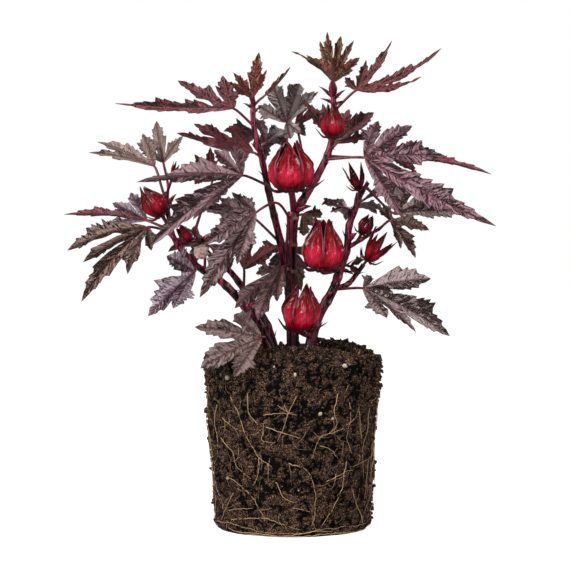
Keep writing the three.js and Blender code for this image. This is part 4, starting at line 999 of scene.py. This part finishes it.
def half_lobe(base, lobe, hand, sinus, start, arch, up, upper, rng):
    """One half of a lobe as a grid of points, with the numbers that its veins are drawn from.

    Its first rows are the web that it shares with its neighbour, and the others its free edge with the teeth.
    """
    shares, reaches, leans = edge_rows(lobe["length"], rng)
    in_web = WEB_ROWS + 1
    web = np.linspace(0, 1, in_web)
    along = np.concatenate([start * web, start + (1 - start) * shares])
    free = (along - start) / (1 - start)
    spine = midrib(base, lobe, along, arch)
    lean = np.concatenate([np.zeros(in_web), leans])
    room = np.inf if sinus is None else np.maximum(along, 0.02) * lobe["length"] * sinus["spread"]
    scale = np.concatenate([np.ones(in_web), reaches])
    half = np.minimum(room, lobe["width"] / 2 * lobe_outline(np.maximum(free, 0)) * scale)
    edge_along = np.minimum(1, along + lean * (1 - free))
    rim = (midrib(base, lobe, edge_along, arch) + lobe["side"] * (hand * half)[:, None]
           + lobe["normal"] * (up * half * FOLD)[:, None])
    if sinus is None:
        rim[:in_web] = spine[:in_web] + (rim - spine)[:in_web] * (web ** WEB_CURVE)[:, None]
    else:
        fade = np.clip(1 - free / WEB_BLEND, 0, 1) ** 2
        rim = rim + (sinus["line"][-1] - rim[WEB_ROWS]) * fade[:, None]
        rim[:in_web] = sinus["line"]
    half_mm = np.linalg.norm(rim - spine, axis=1)[:, None]
    pitch = (1 - start) * lobe["length"] * SIDE_VEIN_PITCH
    out = ACROSS_HALF[None, :]
    slant = SIDE_VEIN_LEAN * lobe["length"] / pitch * (1 - out) * (half_mm / half_mm.max())
    run = along[:, None] * lobe["length"] / pitch + slant
    body = np.clip(np.minimum(along / VEINS_FADE_IN, (1 - along) / VEINS_FADE_OUT), 0, 1)[:, None]
    puckers = np.abs(np.sin(np.pi * run)) ** 0.8 - 0.55
    quilt = upper * QUILT_HEIGHT * pitch * puckers * (4 * out * (1 - out)) ** 0.6 * body
    groove = -upper * MIDRIB_DEPTH * np.exp(-(out * half_mm / MIDRIB_REACH) ** 2) * body
    open_edge = np.clip(free / WAVE_FADES_IN, 0, 1)[:, None]
    turns = free[:, None] * lobe["waves"] + lobe["phase"] + 0.3 * hand
    wave = lobe["wave"] * np.sin(2 * np.pi * turns) * out ** 2
    curl = -up * CURL_IN * half_mm * (out - out ** 2) + up * CURL_OUT * half_mm * out ** 3
    lift = quilt + groove + open_edge * (wave + curl) * body
    flat = spine[:, None, :] * (1 - out[..., None]) + rim[:, None, :] * out[..., None]
    points = flat + lobe["normal"] * lift[..., None]
    # One half of each lobe is painted lighter and the other darker: painted light and shade.
    numbers = dict(run=run, pitch=pitch, painted_half_light=rng.uniform(-HALF_PAINTED_LIGHT, HALF_PAINTED_LIGHT) * hand,
                   from_midrib=out * half_mm, lobe_red=lobe["red"],
                   from_edge=np.where(free[:, None] > 0, (1 - out) * half_mm, INSIDE_WEB))
    numbers = {key: np.broadcast_to(value, run.shape).reshape(-1) for key, value in numbers.items()}
    return points.reshape(-1, 3), numbers, len(along)


def blade_sheet(leaf, rng):
    """The whole blade as one sheet: points, faces, and the vein numbers at each face's corners."""
    base, lobes, whole = lobes_of(leaf)
    up = -1 if whole[2] < 0 else 1
    forward = 1 if whole[1] < 0 else -1
    upper = {"sky": up, "under": -forward}.get(leaf["side"], forward)
    arch = leaf["arch"] * up
    sinuses = [sinus_between(base, a, b, arch, leaf["web"]) for a, b in zip(lobes, lobes[1:])]
    points, faces, numbers = [], [], {}
    count = 0
    for number, lobe in enumerate(lobes):
        lobe.update(wave=rng.uniform(*WAVE_HEIGHTS), waves=rng.uniform(*WAVES_A_LOBE), phase=rng.random(),
                    red=LOBE_RED if number in leaf["red_lobes"] else 0.0)
        beside = {-1: sinuses[number - 1] if number > 0 else None,
                  1: sinuses[number] if number < len(sinuses) else None}
        near = [sinus["reach"] for sinus in beside.values() if sinus is not None]
        start = min(sum(near) / len(near) / lobe["length"], LONGEST_WEB)
        seed = rng.integers(1 << 30)
        for hand in (-1, 1):
            tooth_rng = np.random.default_rng(seed)
            grid, values, rows = half_lobe(base, lobe, hand, beside[hand], start, arch, up, upper, tooth_rng)
            cells = grid_faces(rows, len(ACROSS_HALF), count)
            faces.append(cells if hand < 0 else cells[:, ::-1])
            points.append(grid)
            for key, value in values.items():
                numbers.setdefault(key, []).append(value)
            count += len(grid)
    numbers = {key: np.concatenate(value) for key, value in numbers.items()}
    return np.concatenate(points), np.concatenate(faces), numbers, base, lobes, arch, upper


def weld_sheet(points, faces, grain=1e-3):
    """Joins points at one place; gives the points, and each face's corners before and after."""
    keys = np.round(points / grain).astype(np.int64)
    _, first, back = np.unique(keys, axis=0, return_index=True, return_inverse=True)
    back = back.reshape(-1)
    kept = []
    for face in faces.tolist():
        corners_before, corners_after = [], []
        for corner in face:
            joined = int(back[corner])
            if joined not in corners_after:
                corners_before.append(corner)
                corners_after.append(joined)
        if len(corners_after) > 2:
            kept.append((corners_before, corners_after))
    return points[first], kept


def sheet_normals(points, kept):
    normals = np.zeros_like(points)
    for _, corners_after in kept:
        a, b, c = (points[corners_after[k]] for k in (0, 1, 2))
        turn = np.cross(b - a, c - a)
        if len(corners_after) == 4:
            turn = turn + np.cross(c - a, points[corners_after[3]] - a)
        normals[corners_after] += turn
    length = np.linalg.norm(normals, axis=1, keepdims=True)
    return normals / np.maximum(length, 1e-9)


def blade_faces(kept, count, upper):
    """The faces of a closed blade, upper side, under side and edge: corners, raw corners and paints."""
    faces, before, face_paints, ways, raw_of = [], [], [], {}, {}

    def add_face(corners, raw_corners, paint, turned):
        faces.append(corners[::-1] if turned else corners)
        before.append(raw_corners[::-1] if turned else raw_corners)
        face_paints.append(paint)

    for corners_before, corners_after in kept:
        ways.update(dict.fromkeys(zip(corners_after, corners_after[1:] + corners_after[:1])))
        raw_of.update(zip(corners_after, corners_before))
        add_face(corners_after, corners_before, 0, upper < 0)
        add_face([corner + count for corner in corners_after], corners_before, 1, upper > 0)
    for here, there in ways:
        if (there, here) not in ways:
            raw_edge = [raw_of[there], raw_of[here], raw_of[here], raw_of[there]]
            add_face([there, here, here + count, there + count], raw_edge, 0, upper < 0)
    return faces, before, face_paints


# The skin's looks: the middle of its painted light and shade, how crooked the side veins run, and how
# strongly the painted lilac-grey sheen shows, less on red lobes.
MIDDLE_LIGHT = 0.75
VEIN_CROOK = 0.9
PAINTED_SHEEN_STRENGTH = 0.8
PAINTED_SHEEN_BY_RED = -2.0
HALVES_APART = 60


def vein_streaks(paint, run, across, along, detail):
    """Noise over a half lobe's own two directions, drawn out along its side veins."""
    place = {"X": paint.times(run, across), "Y": paint.times(paint.share("from_midrib"), along),
             "Z": paint.times(paint.share("painted_half_light"), HALVES_APART)}
    return paint.noise(1, detail, place=paint.add("ShaderNodeCombineXYZ", place))


def leaf_paint(name, cold, warm, crimson, vein, vein_share, gloss, sheen_tint):
    """Puckered leaf skin. Cold, warm and crimson each give a painted-shade colour in creases and a
    painted-light one on puckers.
    """
    paint = Paint(name)
    share, times, plus, ramp, blend = paint.share, paint.times, paint.plus, paint.ramp, paint.blend
    cells = {"Vector": paint.place(), "Scale": 420, "Detail": 3}
    net = paint.add("ShaderNodeTexVoronoi", cells, "Distance", feature="DISTANCE_TO_EDGE")
    run = plus(share("run"), times(plus(paint.noise(110, 2), -0.5), VEIN_CROOK))
    broad = vein_streaks(paint, run, 1.1, 0.12, 2)
    fine = vein_streaks(paint, run, 4, 0.3, 3)
    aside = paint.add("ShaderNodeMath", {0: run, 1: 0.5}, operation="PINGPONG")
    pillow = ramp(aside, 0, 0.2)
    # Painted light and shade: each half lobe's painted light, painted light on the pillows between the side
    # veins, and the streaks and net that also raise the relief.
    light = plus(share("painted_half_light"), times(pillow, 0.2))
    for source, low, high, weight in ((broad, 0.4, 0.6, 0.3), (fine, 0.4, 0.6, 0.4), (net, 0.02, 0.2, 0.15)):
        light = plus(light, times(ramp(source, low, high), weight))
    rough = share("rough")
    # Rough widens the painted light and shade about their middle.
    light = ramp(plus(times(plus(light, -MIDDLE_LIGHT), rough), MIDDLE_LIGHT), 0.3, 0.96)
    tint, from_midrib, lobe_red = share("tint"), share("from_midrib"), share("lobe_red")
    skin = blend(tint, blend(light, *cold), blend(light, *warm))
    patchy = plus(ramp(paint.noise(75, 2), 0.38, 0.62), 0.5)
    skin = blend(times(plus(share("red"), lobe_red), patchy), skin, blend(light, *crimson))
    # A painted lilac-grey sheen over the painted-light parts, weaker on red lobes: a painted reflection.
    bloom = times(times(light, share("painted_sheen")), PAINTED_SHEEN_STRENGTH)
    skin = blend(times(bloom, plus(times(lobe_red, PAINTED_SHEEN_BY_RED), 1)), skin, blend(tint, *PAINTED_SHEEN_COLOURS))
    line = blend(tint, vein, OLIVE_VEIN)
    side_vein, main_vein = ramp(times(aside, share("pitch")), 0.3, 0.1), ramp(from_midrib, 0.5, 0.2)
    # Beside the midrib the skin takes the crease colour: painted shade in the midrib's groove. The margin is
    # darkened with the same colour.
    midrib_groove_shade, margin = ramp(from_midrib, 1.6, 0.6), ramp(share("from_edge"), 0.5, 0.1)
    for where, amount, colour in ((midrib_groove_shade, 0.6, cold[0]), (side_vein, vein_share, line),
                                  (main_vein, 0.65, line), (margin, 0.5, cold[0])):
        skin = blend(times(where, amount), skin, colour)
    height = times(pillow, 0.3)
    for source, amount in ((broad, 1.2), (fine, 0.9), (net, 0.5), (main_vein, -0.2)):
        height = plus(height, times(source, amount))
    own = {"Roughness": gloss, "Specular IOR Level": 0.26, "Sheen Weight": 0.02, "Sheen Roughness": 0.4,
           "Sheen Tint": sheen_tint}
    return paint.finish(skin, own, times(height, rough), 0.0018)


OLIVE_VEIN = (0.4, 0.22, 0.13)
# The painted sheen's colours, lilac-grey for cold skins and warmer grey for brown ones: a painted reflection.
PAINTED_SHEEN_COLOURS = (0.62, 0.49, 0.57), (0.56, 0.47, 0.43)
leaf_above = leaf_paint(
    "leaf_above", cold=((0.009, 0.001, 0.003), (0.28, 0.145, 0.175)),
    warm=((0.013, 0.005, 0.0025), (0.31, 0.19, 0.11)), crimson=((0.02, 0.0006, 0.002), (0.4, 0.034, 0.065)),
    vein=(0.4, 0.11, 0.14), vein_share=0.28, gloss=0.3, sheen_tint=(0.75, 0.65, 0.8))
leaf_below = leaf_paint(
    "leaf_below", cold=((0.012, 0.0015, 0.0035), (0.25, 0.08, 0.09)),
    warm=((0.012, 0.005, 0.0025), (0.27, 0.135, 0.08)),
    crimson=((0.022, 0.0006, 0.0025), (0.44, 0.024, 0.058)),
    vein=(0.6, 0.17, 0.17), vein_share=0.4, gloss=0.4, sheen_tint=(0.8, 0.5, 0.55))
leaf_young = leaf_paint(
    "leaf_young", cold=((0.02, 0.003, 0.003), (0.56, 0.3, 0.14)),
    warm=((0.018, 0.008, 0.0025), (0.66, 0.5, 0.18)), crimson=((0.04, 0.002, 0.004), (0.6, 0.12, 0.09)),
    vein=(0.7, 0.16, 0.12), vein_share=0.5, gloss=0.34, sheen_tint=(0.8, 0.7, 0.5))


def petiole_paint():
    paint = Paint("crimson_petiole")
    streaks = paint.ramp(paint.noise(160, 3), 0.35, 0.7)
    colour = paint.blend(streaks, (0.1, 0.006, 0.018), (0.28, 0.025, 0.055))
    return paint.finish(colour, {"Roughness": 0.32}, paint.noise(1500, 1), 0.0002)


crimson_petiole = petiole_paint()
for leaf_number, told in enumerate(LEAVES):
    leaf = {**USUAL_LEAF, **told}
    leaf_rng = np.random.default_rng(100 + leaf_number)
    raw_points, raw_faces, numbers, base, lobes, arch, upper = blade_sheet(leaf, leaf_rng)
    points, kept = weld_sheet(raw_points, raw_faces)
    normals = sheet_normals(points, kept) * upper
    front = points + normals * BLADE_THICKNESS / 2
    behind = points - normals * BLADE_THICKNESS / 2
    faces, before, face_paints = blade_faces(kept, len(points), upper)
    main = max(lobes, key=lambda lobe: lobe["length"])
    middle = [seen_from_front(*leaf["via"])] if "via" in leaf else []
    end = midrib(base, main, PETIOLE_RUN / main["length"], arch)
    centres = smooth_line([seen_from_front(*leaf["start"])] + middle + [base, end], PETIOLE_STEP)
    way = np.linspace(0, 1, len(centres))
    swell = 1 + FOOT_SWELL * np.exp(-np.linspace(0, 8, len(centres))) - END_THINNING * way ** 6
    tube, tube_faces = tube_along(centres, PETIOLE_RADIUS * swell, PETIOLE_SIDES)
    start_at = 2 * len(points)
    faces.extend([[corner + start_at for corner in face] for face in tube_faces])
    face_paints.extend([2] * len(tube_faces))
    everything = np.concatenate([front, behind, tube])
    name = leaf["name"]
    skins = [leaf_young, leaf_young] if leaf["side"] == "young" else [leaf_above, leaf_below]
    leanings = {key: np.full(len(everything), leaf[key]) for key in ("tint", "painted_sheen", "red", "rough")}
    piece = make_piece(name + "_veined", everything, faces, skins + [crimson_petiole], leanings, face_paints)
    raw_corners = np.array([corner for face in before for corner in face])
    loop_count = len(piece.data.loops)
    for key, value in numbers.items():
        layer = piece.data.attributes.new(key, "FLOAT", "CORNER")
        values = np.zeros(loop_count, dtype=np.float32)
        values[:len(raw_corners)] = value[raw_corners]
        layer.data.foreach_set("value", values)
    piece.data.set_sharp_from_angle(angle=SHARPEST_SMOOTH)
    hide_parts(name)

# Calyces: five fleshy sepals stand edge to edge round the fruit, each with a keel and two raised borders.
# They are glossy red with pale pink lines, and sit in a ring of narrow dark bracts on a short stalk.
# Profile is a calyx's girth at shares of its height; parting is the share at which its sepals part.
CALYCES = [
    dict(name="calyx_centre", flesh="red", start=(0.5, 284, -4), base=(-1, 302, -25), tip=(-3, 349, -29),
         radius=19.5, bracts=9, turn=-4, parting=0.42, profile=((0, 0.3), (0.05, 0.55), (0.1, 0.76),
         (0.21, 0.93), (0.36, 1), (0.5, 0.95), (0.62, 0.8), (0.75, 0.57), (0.88, 0.42), (1, 0.36))),
    dict(name="calyx_mid_right", flesh="red", start=(43, 232.5, 0), base=(27.5, 231, -31),
         tip=(28, 279, -37), radius=18, bracts=9, turn=35, parting=0.5, profile=((0, 0.3), (0.04, 0.55),
         (0.1, 0.82), (0.2, 0.93), (0.35, 1), (0.47, 0.94), (0.6, 0.8), (0.72, 0.6), (0.85, 0.45),
         (1, 0.42))),
    dict(name="calyx_low", flesh="red", start=(16, 171, -10), base=(6.5, 177.5, -40), tip=(10, 219.5, -48),
         radius=16, bracts=9, turn=10, parting=0.48, profile=((0, 0.34), (0.04, 0.6), (0.1, 0.78),
         (0.22, 0.92), (0.42, 1), (0.54, 0.94), (0.66, 0.76), (0.8, 0.53), (0.9, 0.42), (1, 0.4))),
    dict(name="calyx_top", flesh="crimson", start=(35, 348, 2), base=(36, 350.5, -13), tip=(35, 382, -17),
         radius=10.6, bracts=8, turn=10, parting=0.5, profile=((0, 0.3), (0.08, 0.7), (0.2, 0.93),
         (0.36, 1), (0.5, 0.92), (0.64, 0.7), (0.8, 0.48), (1, 0.34))),
    dict(name="calyx_left", flesh="crimson", start=(-107.5, 261, -20), base=(-117, 280.5, -29),
         tip=(-136, 307, -34), radius=10.5, bracts=8, turn=20, parting=0.5, profile=((0, 0.3), (0.1, 0.68),
         (0.28, 0.97), (0.45, 1), (0.65, 0.68), (0.82, 0.36), (1, 0.16))),
    dict(name="calyx_open", flesh="crimson", start=(64, 236.5, -14), base=(67, 240, -16),
         tip=(85, 264, -24), radius=8.5, bracts=7, spread=0.95, turn=25, parting=0.2, profile=((0, 0.35),
         (0.2, 0.75), (0.45, 1), (0.75, 1.25), (1, 1.5))),
    dict(name="calyx_dark", flesh="maroon", start=(59.5, 301, 0), base=(60, 304, -2), tip=(54, 327, -8),
         radius=7, bracts=7, spread=0.8, turn=-20, parting=0.25, profile=((0, 0.35), (0.2, 0.75), (0.45, 1),
         (0.75, 1.15), (1, 1.4))),
    dict(name="calyx_small_right", flesh="maroon", start=(55, 253.5, 2), base=(62, 264, -6),
         tip=(71, 281, -10), radius=6.5, bracts=6, spread=0.3, turn=0, parting=0.45, profile=((0, 0.3),
         (0.15, 0.75), (0.35, 1), (0.6, 0.9), (0.8, 0.6), (1, 0.4))),
    dict(name="calyx_bud_left", flesh="crimson", start=(-84, 258, -2), base=(-92, 257, -12),
         tip=(-103, 271, -16), radius=5.5, bracts=6, spread=0.5, turn=15, parting=0.35, profile=((0, 0.3),
         (0.2, 0.8), (0.4, 1), (0.65, 0.8), (1, 0.6))),
    dict(name="calyx_bud_far_left", flesh="crimson", start=(-113, 300, -15), base=(-108, 314, -20),
         tip=(-101, 327, -22), radius=4.5, bracts=6, spread=0.8, turn=0, parting=0.2, profile=((0, 0.35),
         (0.2, 0.75), (0.45, 1), (0.75, 1.2), (1, 1.5))),
]
SEPALS = 5
HALF_OF_A_FIFTH = math.radians(36)
SPREAD_OPEN = 0.6
SEPAL_GRID = {"fruiting": (46, 25), "small": (30, 17)}
SMALL_CALYX = 12
RIB_CALYX = 19
SEPAL_THICKNESS = 0.9
STREAKS_APART = 2.7
KEEL_HEIGHT = 0.8
BORDER_HEIGHT = 1.5
FURROW_HEIGHT = 0.7
EDGE_TURN = 1.6
# A sepal's width above the parting, as a share of a fifth of the round: closed calyces, then spread ones.
SEPAL_WIDTH = ((0, 1.03), (0.15, 1), (0.45, 0.9), (0.7, 0.72), (0.86, 0.46), (0.95, 0.22), (1, 0.03))
SPREAD_WIDTH = ((0, 1), (0.3, 0.72), (0.6, 0.45), (0.85, 0.2), (1, 0.03))


def calyx_frame(calyx):
    base = seen_from_front(*calyx["base"])
    tip = seen_from_front(*calyx["tip"])
    height = np.linalg.norm(tip - base)
    up = (tip - base) / height
    across = unit(np.array([1.0, 0, 0]) - up * up[0])
    return base, height, up, across, np.cross(up, across)


def round_about(calyx, angle, distance, rise):
    """Points round a calyx's middle line, by their angle, their distance from it and their height on it."""
    base, _, up, across, depth = calyx_frame(calyx)
    aside = base + (np.cos(angle) * distance)[..., None] * across
    return (aside + (np.sin(angle) * distance)[..., None] * depth + rise[..., None] * up).reshape(-1, 3)


def closed_sheet(outer, inner, rows, columns):
    """A thick sheet from its outer and inner grids, closed along its border."""
    count = rows * columns
    faces = grid_faces(rows, columns).tolist() + grid_faces(rows, columns, count)[:, ::-1].tolist()
    border = ([k for k in range(columns)] + [(k + 1) * columns - 1 for k in range(1, rows)]
              + [count - 2 - k for k in range(columns - 1)] + [k * columns for k in range(rows - 2, 0, -1)])
    for here, there in zip(border, border[1:] + border[:1]):
        faces.append([there, here, here + count, there + count])
    return np.concatenate([outer, inner]), faces


def sepal_streaks(paint, around, along):
    """Noise over a sepal's own two directions, drawn out along it."""
    place = {"X": paint.times(paint.share("around"), around), "Y": paint.times(paint.share("along"), along)}
    return paint.noise(1, place=paint.add("ShaderNodeCombineXYZ", place))


def calyx_paint(name, deep, red, glow, line, groove_shade_and_tip_colour, roughness):
    paint = Paint(name)
    share, times, plus, ramp, blend = paint.share, paint.times, paint.plus, paint.ramp, paint.blend
    fine = sepal_streaks(paint, 26, 5)
    # The glow share paints light low on each sepal's belly, streaked: a painted highlight. Half of it also
    # lifts the blush.
    blush = plus(times(ramp(sepal_streaks(paint, 7, 3), 0.36, 0.62), 0.6), times(share("glow"), 0.5))
    streaked_belly_light = times(share("glow"), plus(0.15, times(ramp(fine, 0.42, 0.6), 0.85)))
    lit = blend(streaked_belly_light, blend(blush, deep, red), glow)
    # The dark share gives painted shade in the grooves beside the borders, and darkens the foot and the tips.
    ended = blend(share("dark"), blend(share("ridge"), lit, line), groove_shade_and_tip_colour)
    dotted = blend(times(ramp(paint.noise(900, 1), 0.74, 0.8), 0.2), ended, line)
    own = {"Roughness": roughness, "Specular IOR Level": 0.08, "Coat Weight": 0.35, "Coat Roughness": 0.08,
           "Subsurface Weight": 0.05, "Subsurface Radius": (0.003, 0.0005, 0.0005)}
    return paint.finish(dotted, own, fine, 0.0005, 0.6)


# Each flesh: deep and red body colours, the painted highlight on the bellies, the line colour, the colour of
# the painted shade in the grooves and of the darker foot and tips, and roughness.
CALYX_FLESH = {
    "red": calyx_paint("calyx_red", (0.085, 0.0004, 0.0015), (0.55, 0.0015, 0.014), (1.0, 0.04, 0.12),
                       (0.56, 0.2, 0.24), (0.018, 0.0004, 0.0015), 0.19),
    "crimson": calyx_paint("calyx_crimson", (0.05, 0.0005, 0.0015), (0.36, 0.002, 0.01), (0.75, 0.015, 0.055),
                           (0.36, 0.07, 0.09), (0.014, 0.0006, 0.0015), 0.2),
    "maroon": calyx_paint("calyx_maroon", (0.02, 0.0005, 0.0015), (0.14, 0.002, 0.007), (0.42, 0.006, 0.025),
                          (0.28, 0.05, 0.07), (0.01, 0.0008, 0.0015), 0.22),
}


def bract_paint():
    paint = Paint("dark_bract")
    streaks = paint.noise(200, 2)
    colour = paint.blend(streaks, (0.01, 0.0015, 0.003), (0.1, 0.01, 0.018))
    return paint.finish(colour, {"Roughness": 0.4}, streaks, 0.0003)


dark_bract = bract_paint()
NO_MARKS = dict.fromkeys(("ridge", "dark", "glow", "around", "along"), 0.0)
FIRST_SEPAL = -math.pi / 2
THINNEST_BRACT = 0.75
BRACT_THICKNESS = 0.065
STALK_SHARE = 0.14
STALK_RADII = (1.2, 2.4)


def add_sepal(heap, calyx, number, rng):
    radius, spread, parting = calyx["radius"], calyx.get("spread", 0), calyx["parting"]
    grid = SEPAL_GRID["small" if radius < SMALL_CALYX else "fruiting"]
    shares = np.linspace(0, 1, grid[0])[:, None]
    aside = np.linspace(-1, 1, grid[1])[None, :]
    from_keel = np.abs(aside)
    places, sizes = zip(*calyx["profile"])
    size = np.interp(shares, places, sizes)
    closed = np.clip((shares - parting) / (1 - parting), 0, 1)
    widths, reaches = zip(*(SPREAD_WIDTH if spread > SPREAD_OPEN else SEPAL_WIDTH))
    half_angle = HALF_OF_A_FIFTH * np.interp(closed, widths, reaches) / np.maximum(size, 1)
    turn = math.radians(calyx["turn"])
    lean = rng.normal(0, 0.05) * closed
    angle = FIRST_SEPAL + turn + 2 * np.pi * number / SEPALS + aside * half_angle + lean
    scale = radius / RIB_CALYX
    keel = KEEL_HEIGHT * np.exp(-(aside / 0.2) ** 2) * np.sin(np.pi * np.clip(shares * 1.05, 0, 1)) ** 0.5
    border = BORDER_HEIGHT * np.exp(-((from_keel - 0.92) / 0.1) ** 2)
    border = border * np.clip((shares - 0.1) / 0.3, 0, 1) * (1 - 0.7 * closed)
    furrow = FURROW_HEIGHT * np.cos(aside * 2.2 * np.pi) * np.sin(np.pi * shares) ** 2
    turned = EDGE_TURN * np.minimum(closed * 2, 1) * (1 - closed) * from_keel ** 4
    overlap = 0.4 * aside
    broad_waves = 0.25 * np.sin(shares * 23 + aside * 6 + number * 2)
    wrinkle = broad_waves + 0.2 * np.sin(shares * 41 - aside * 9 + number)
    out = (keel + border + furrow + turned + overlap + wrinkle) * scale
    reach = radius * size + out * np.clip(shares / 0.06, 0.2, 1)
    tip_drop = rng.uniform(0, 0.08)
    rise = shares * (1 - tip_drop * closed) * calyx_frame(calyx)[1]
    thick = SEPAL_THICKNESS * (0.6 + 0.4 * scale) * (1 - 0.6 * closed)
    outer, inner = (round_about(calyx, angle, distance, rise) for distance in (reach, reach - thick))
    points, faces = closed_sheet(outer, inner, *grid)
    up_the_edge = np.clip((shares - 0.2) / 0.25, 0, 1)
    line = (np.exp(-(aside / 0.07) ** 2) * 0.3 * np.exp(-((shares - 0.5) / 0.2) ** 2)
            + np.exp(-((from_keel - 0.97) / 0.05) ** 2) * 0.85 * up_the_edge
            + 0.5 * np.exp(-((shares - 0.04) / 0.02) ** 2))
    # Darker towards the tips and at the foot, and painted shade in the grooves beside the borders.
    dark = (0.5 * closed ** 1.5 + 0.4 * np.exp(-(shares / 0.1) ** 2)
            + 0.95 * np.exp(-((from_keel - 0.85) / 0.07) ** 2) * np.clip((shares - 0.22) / 0.25, 0, 1))
    # Glow is painted light: a bright patch low on each sepal's belly, a painted highlight that fades to the
    # borders.
    glow = np.exp(-((shares - 0.33) / 0.15) ** 2) * (1 - from_keel ** 1.5)
    marks = dict(ridge=np.clip(line, 0, 1), dark=np.clip(dark, 0, 1), glow=glow,
                 around=aside + STREAKS_APART * number, along=shares)
    marks = {key: np.broadcast_to(value, grid).reshape(-1) for key, value in marks.items()}
    heap.add(points, faces, **{key: np.tile(value, 2) for key, value in marks.items()})


def add_bract(heap, calyx, number):
    """A narrow bract: its three knots are shares of the calyx's radius out, and of its height up."""
    base, height, up, across, depth = calyx_frame(calyx)
    radius = calyx["radius"]
    angle = FIRST_SEPAL + 2 * math.pi * (number + 0.5) / calyx["bracts"]
    out = across * math.cos(angle) + depth * math.sin(angle)
    places = ((0.25, 0.02), (0.85, 0.03), (1.3 + 0.14 * (number % 3), 0.2 + 0.09 * (number % 2)))
    knots = [base + out * radius * far + up * height * high for far, high in places]
    centres = smooth_line(knots, 1.0)
    fullness = np.interp(np.linspace(0, 1, len(centres)), [0, 0.4, 0.75, 1], [0.8, 1.0, 0.7, 0.08])
    points, faces = tube_along(centres, max(THINNEST_BRACT, radius * BRACT_THICKNESS) * fullness, 7)
    heap.add(points, faces, 1, **NO_MARKS)


for calyx_number, calyx in enumerate(CALYCES):
    calyx_rng = np.random.default_rng(300 + calyx_number)
    heap = Heap()
    for number in range(SEPALS):
        add_sepal(heap, calyx, number, calyx_rng)
    for number in range(calyx["bracts"]):
        add_bract(heap, calyx, number)
    base, height, up, across, depth = calyx_frame(calyx)
    stalk = smooth_line([seen_from_front(*calyx["start"]), base, base + up * height * 0.12], 1.2)
    stalk_radius = np.clip(calyx["radius"] * STALK_SHARE, *STALK_RADII)
    radii = stalk_radius * np.interp(np.linspace(0, 1, len(stalk)), [0, 0.6, 1], [1, 1, 1.7])
    points, faces = tube_along(stalk, radii, 14)
    heap.add(points, faces, 2, **NO_MARKS)
    name = calyx["name"]
    piece = heap.piece(name + "_ribbed", [CALYX_FLESH[calyx["flesh"]], dark_bract, crimson_petiole])
    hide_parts(name)

# The spent bloom: a faded pink flower that has closed and twisted up, soft and crumpled like damp paper.
# It hangs from its short stalk by five thin petals wound round each other.
BLOOM = dict(start=(-79, 231, -26), base=(-79, 243, -37), tip=(-84, 252, -45), radius=6)
BLOOM_ROWS = 26
BLOOM_COLUMNS = 60
BLOOM_PLEATS = 7
BLOOM_STALK = 1.3


def bloom_paint():
    paint = Paint("faded_petal")
    blush = paint.noise(240, 3)
    colour = paint.blend(paint.ramp(blush, 0.35, 0.65), (0.95, 0.8, 0.7), (0.8, 0.36, 0.33))
    return paint.finish(colour, {"Roughness": 0.6}, blush, 0.0008)


bloom_base, bloom_height, bloom_up, _, _ = calyx_frame(BLOOM)
bloom_heap = Heap()
share = np.linspace(0, 1, BLOOM_ROWS)[:, None]
angle = np.linspace(0, 2 * np.pi, BLOOM_COLUMNS, endpoint=False)[None, :]
girth = np.interp(share, [0, 0.2, 0.5, 0.8, 1], [0.3, 0.7, 1.0, 0.95, 0.35])
pleats = 1 + 0.22 * np.sin(BLOOM_PLEATS * (angle + 1.6 * share)) + 0.08 * np.sin(17 * angle - 5 * share)
rise = bloom_height * (share + 0.06 * share * np.sin(3 * angle))
petals = round_about(BLOOM, angle, BLOOM["radius"] * girth * pleats, rise)
bloom_heap.add(petals, capped_rings(BLOOM_ROWS, BLOOM_COLUMNS))
stalk = smooth_line([seen_from_front(*BLOOM["start"]), bloom_base, bloom_base + bloom_up * 2], 1.2)
points, faces = tube_along(stalk, np.full(len(stalk), BLOOM_STALK), 12)
bloom_heap.add(points, faces, 1)
bloom = bloom_heap.piece("bloom_spent_petals", [bloom_paint(), crimson_petiole])
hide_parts("bloom_spent")
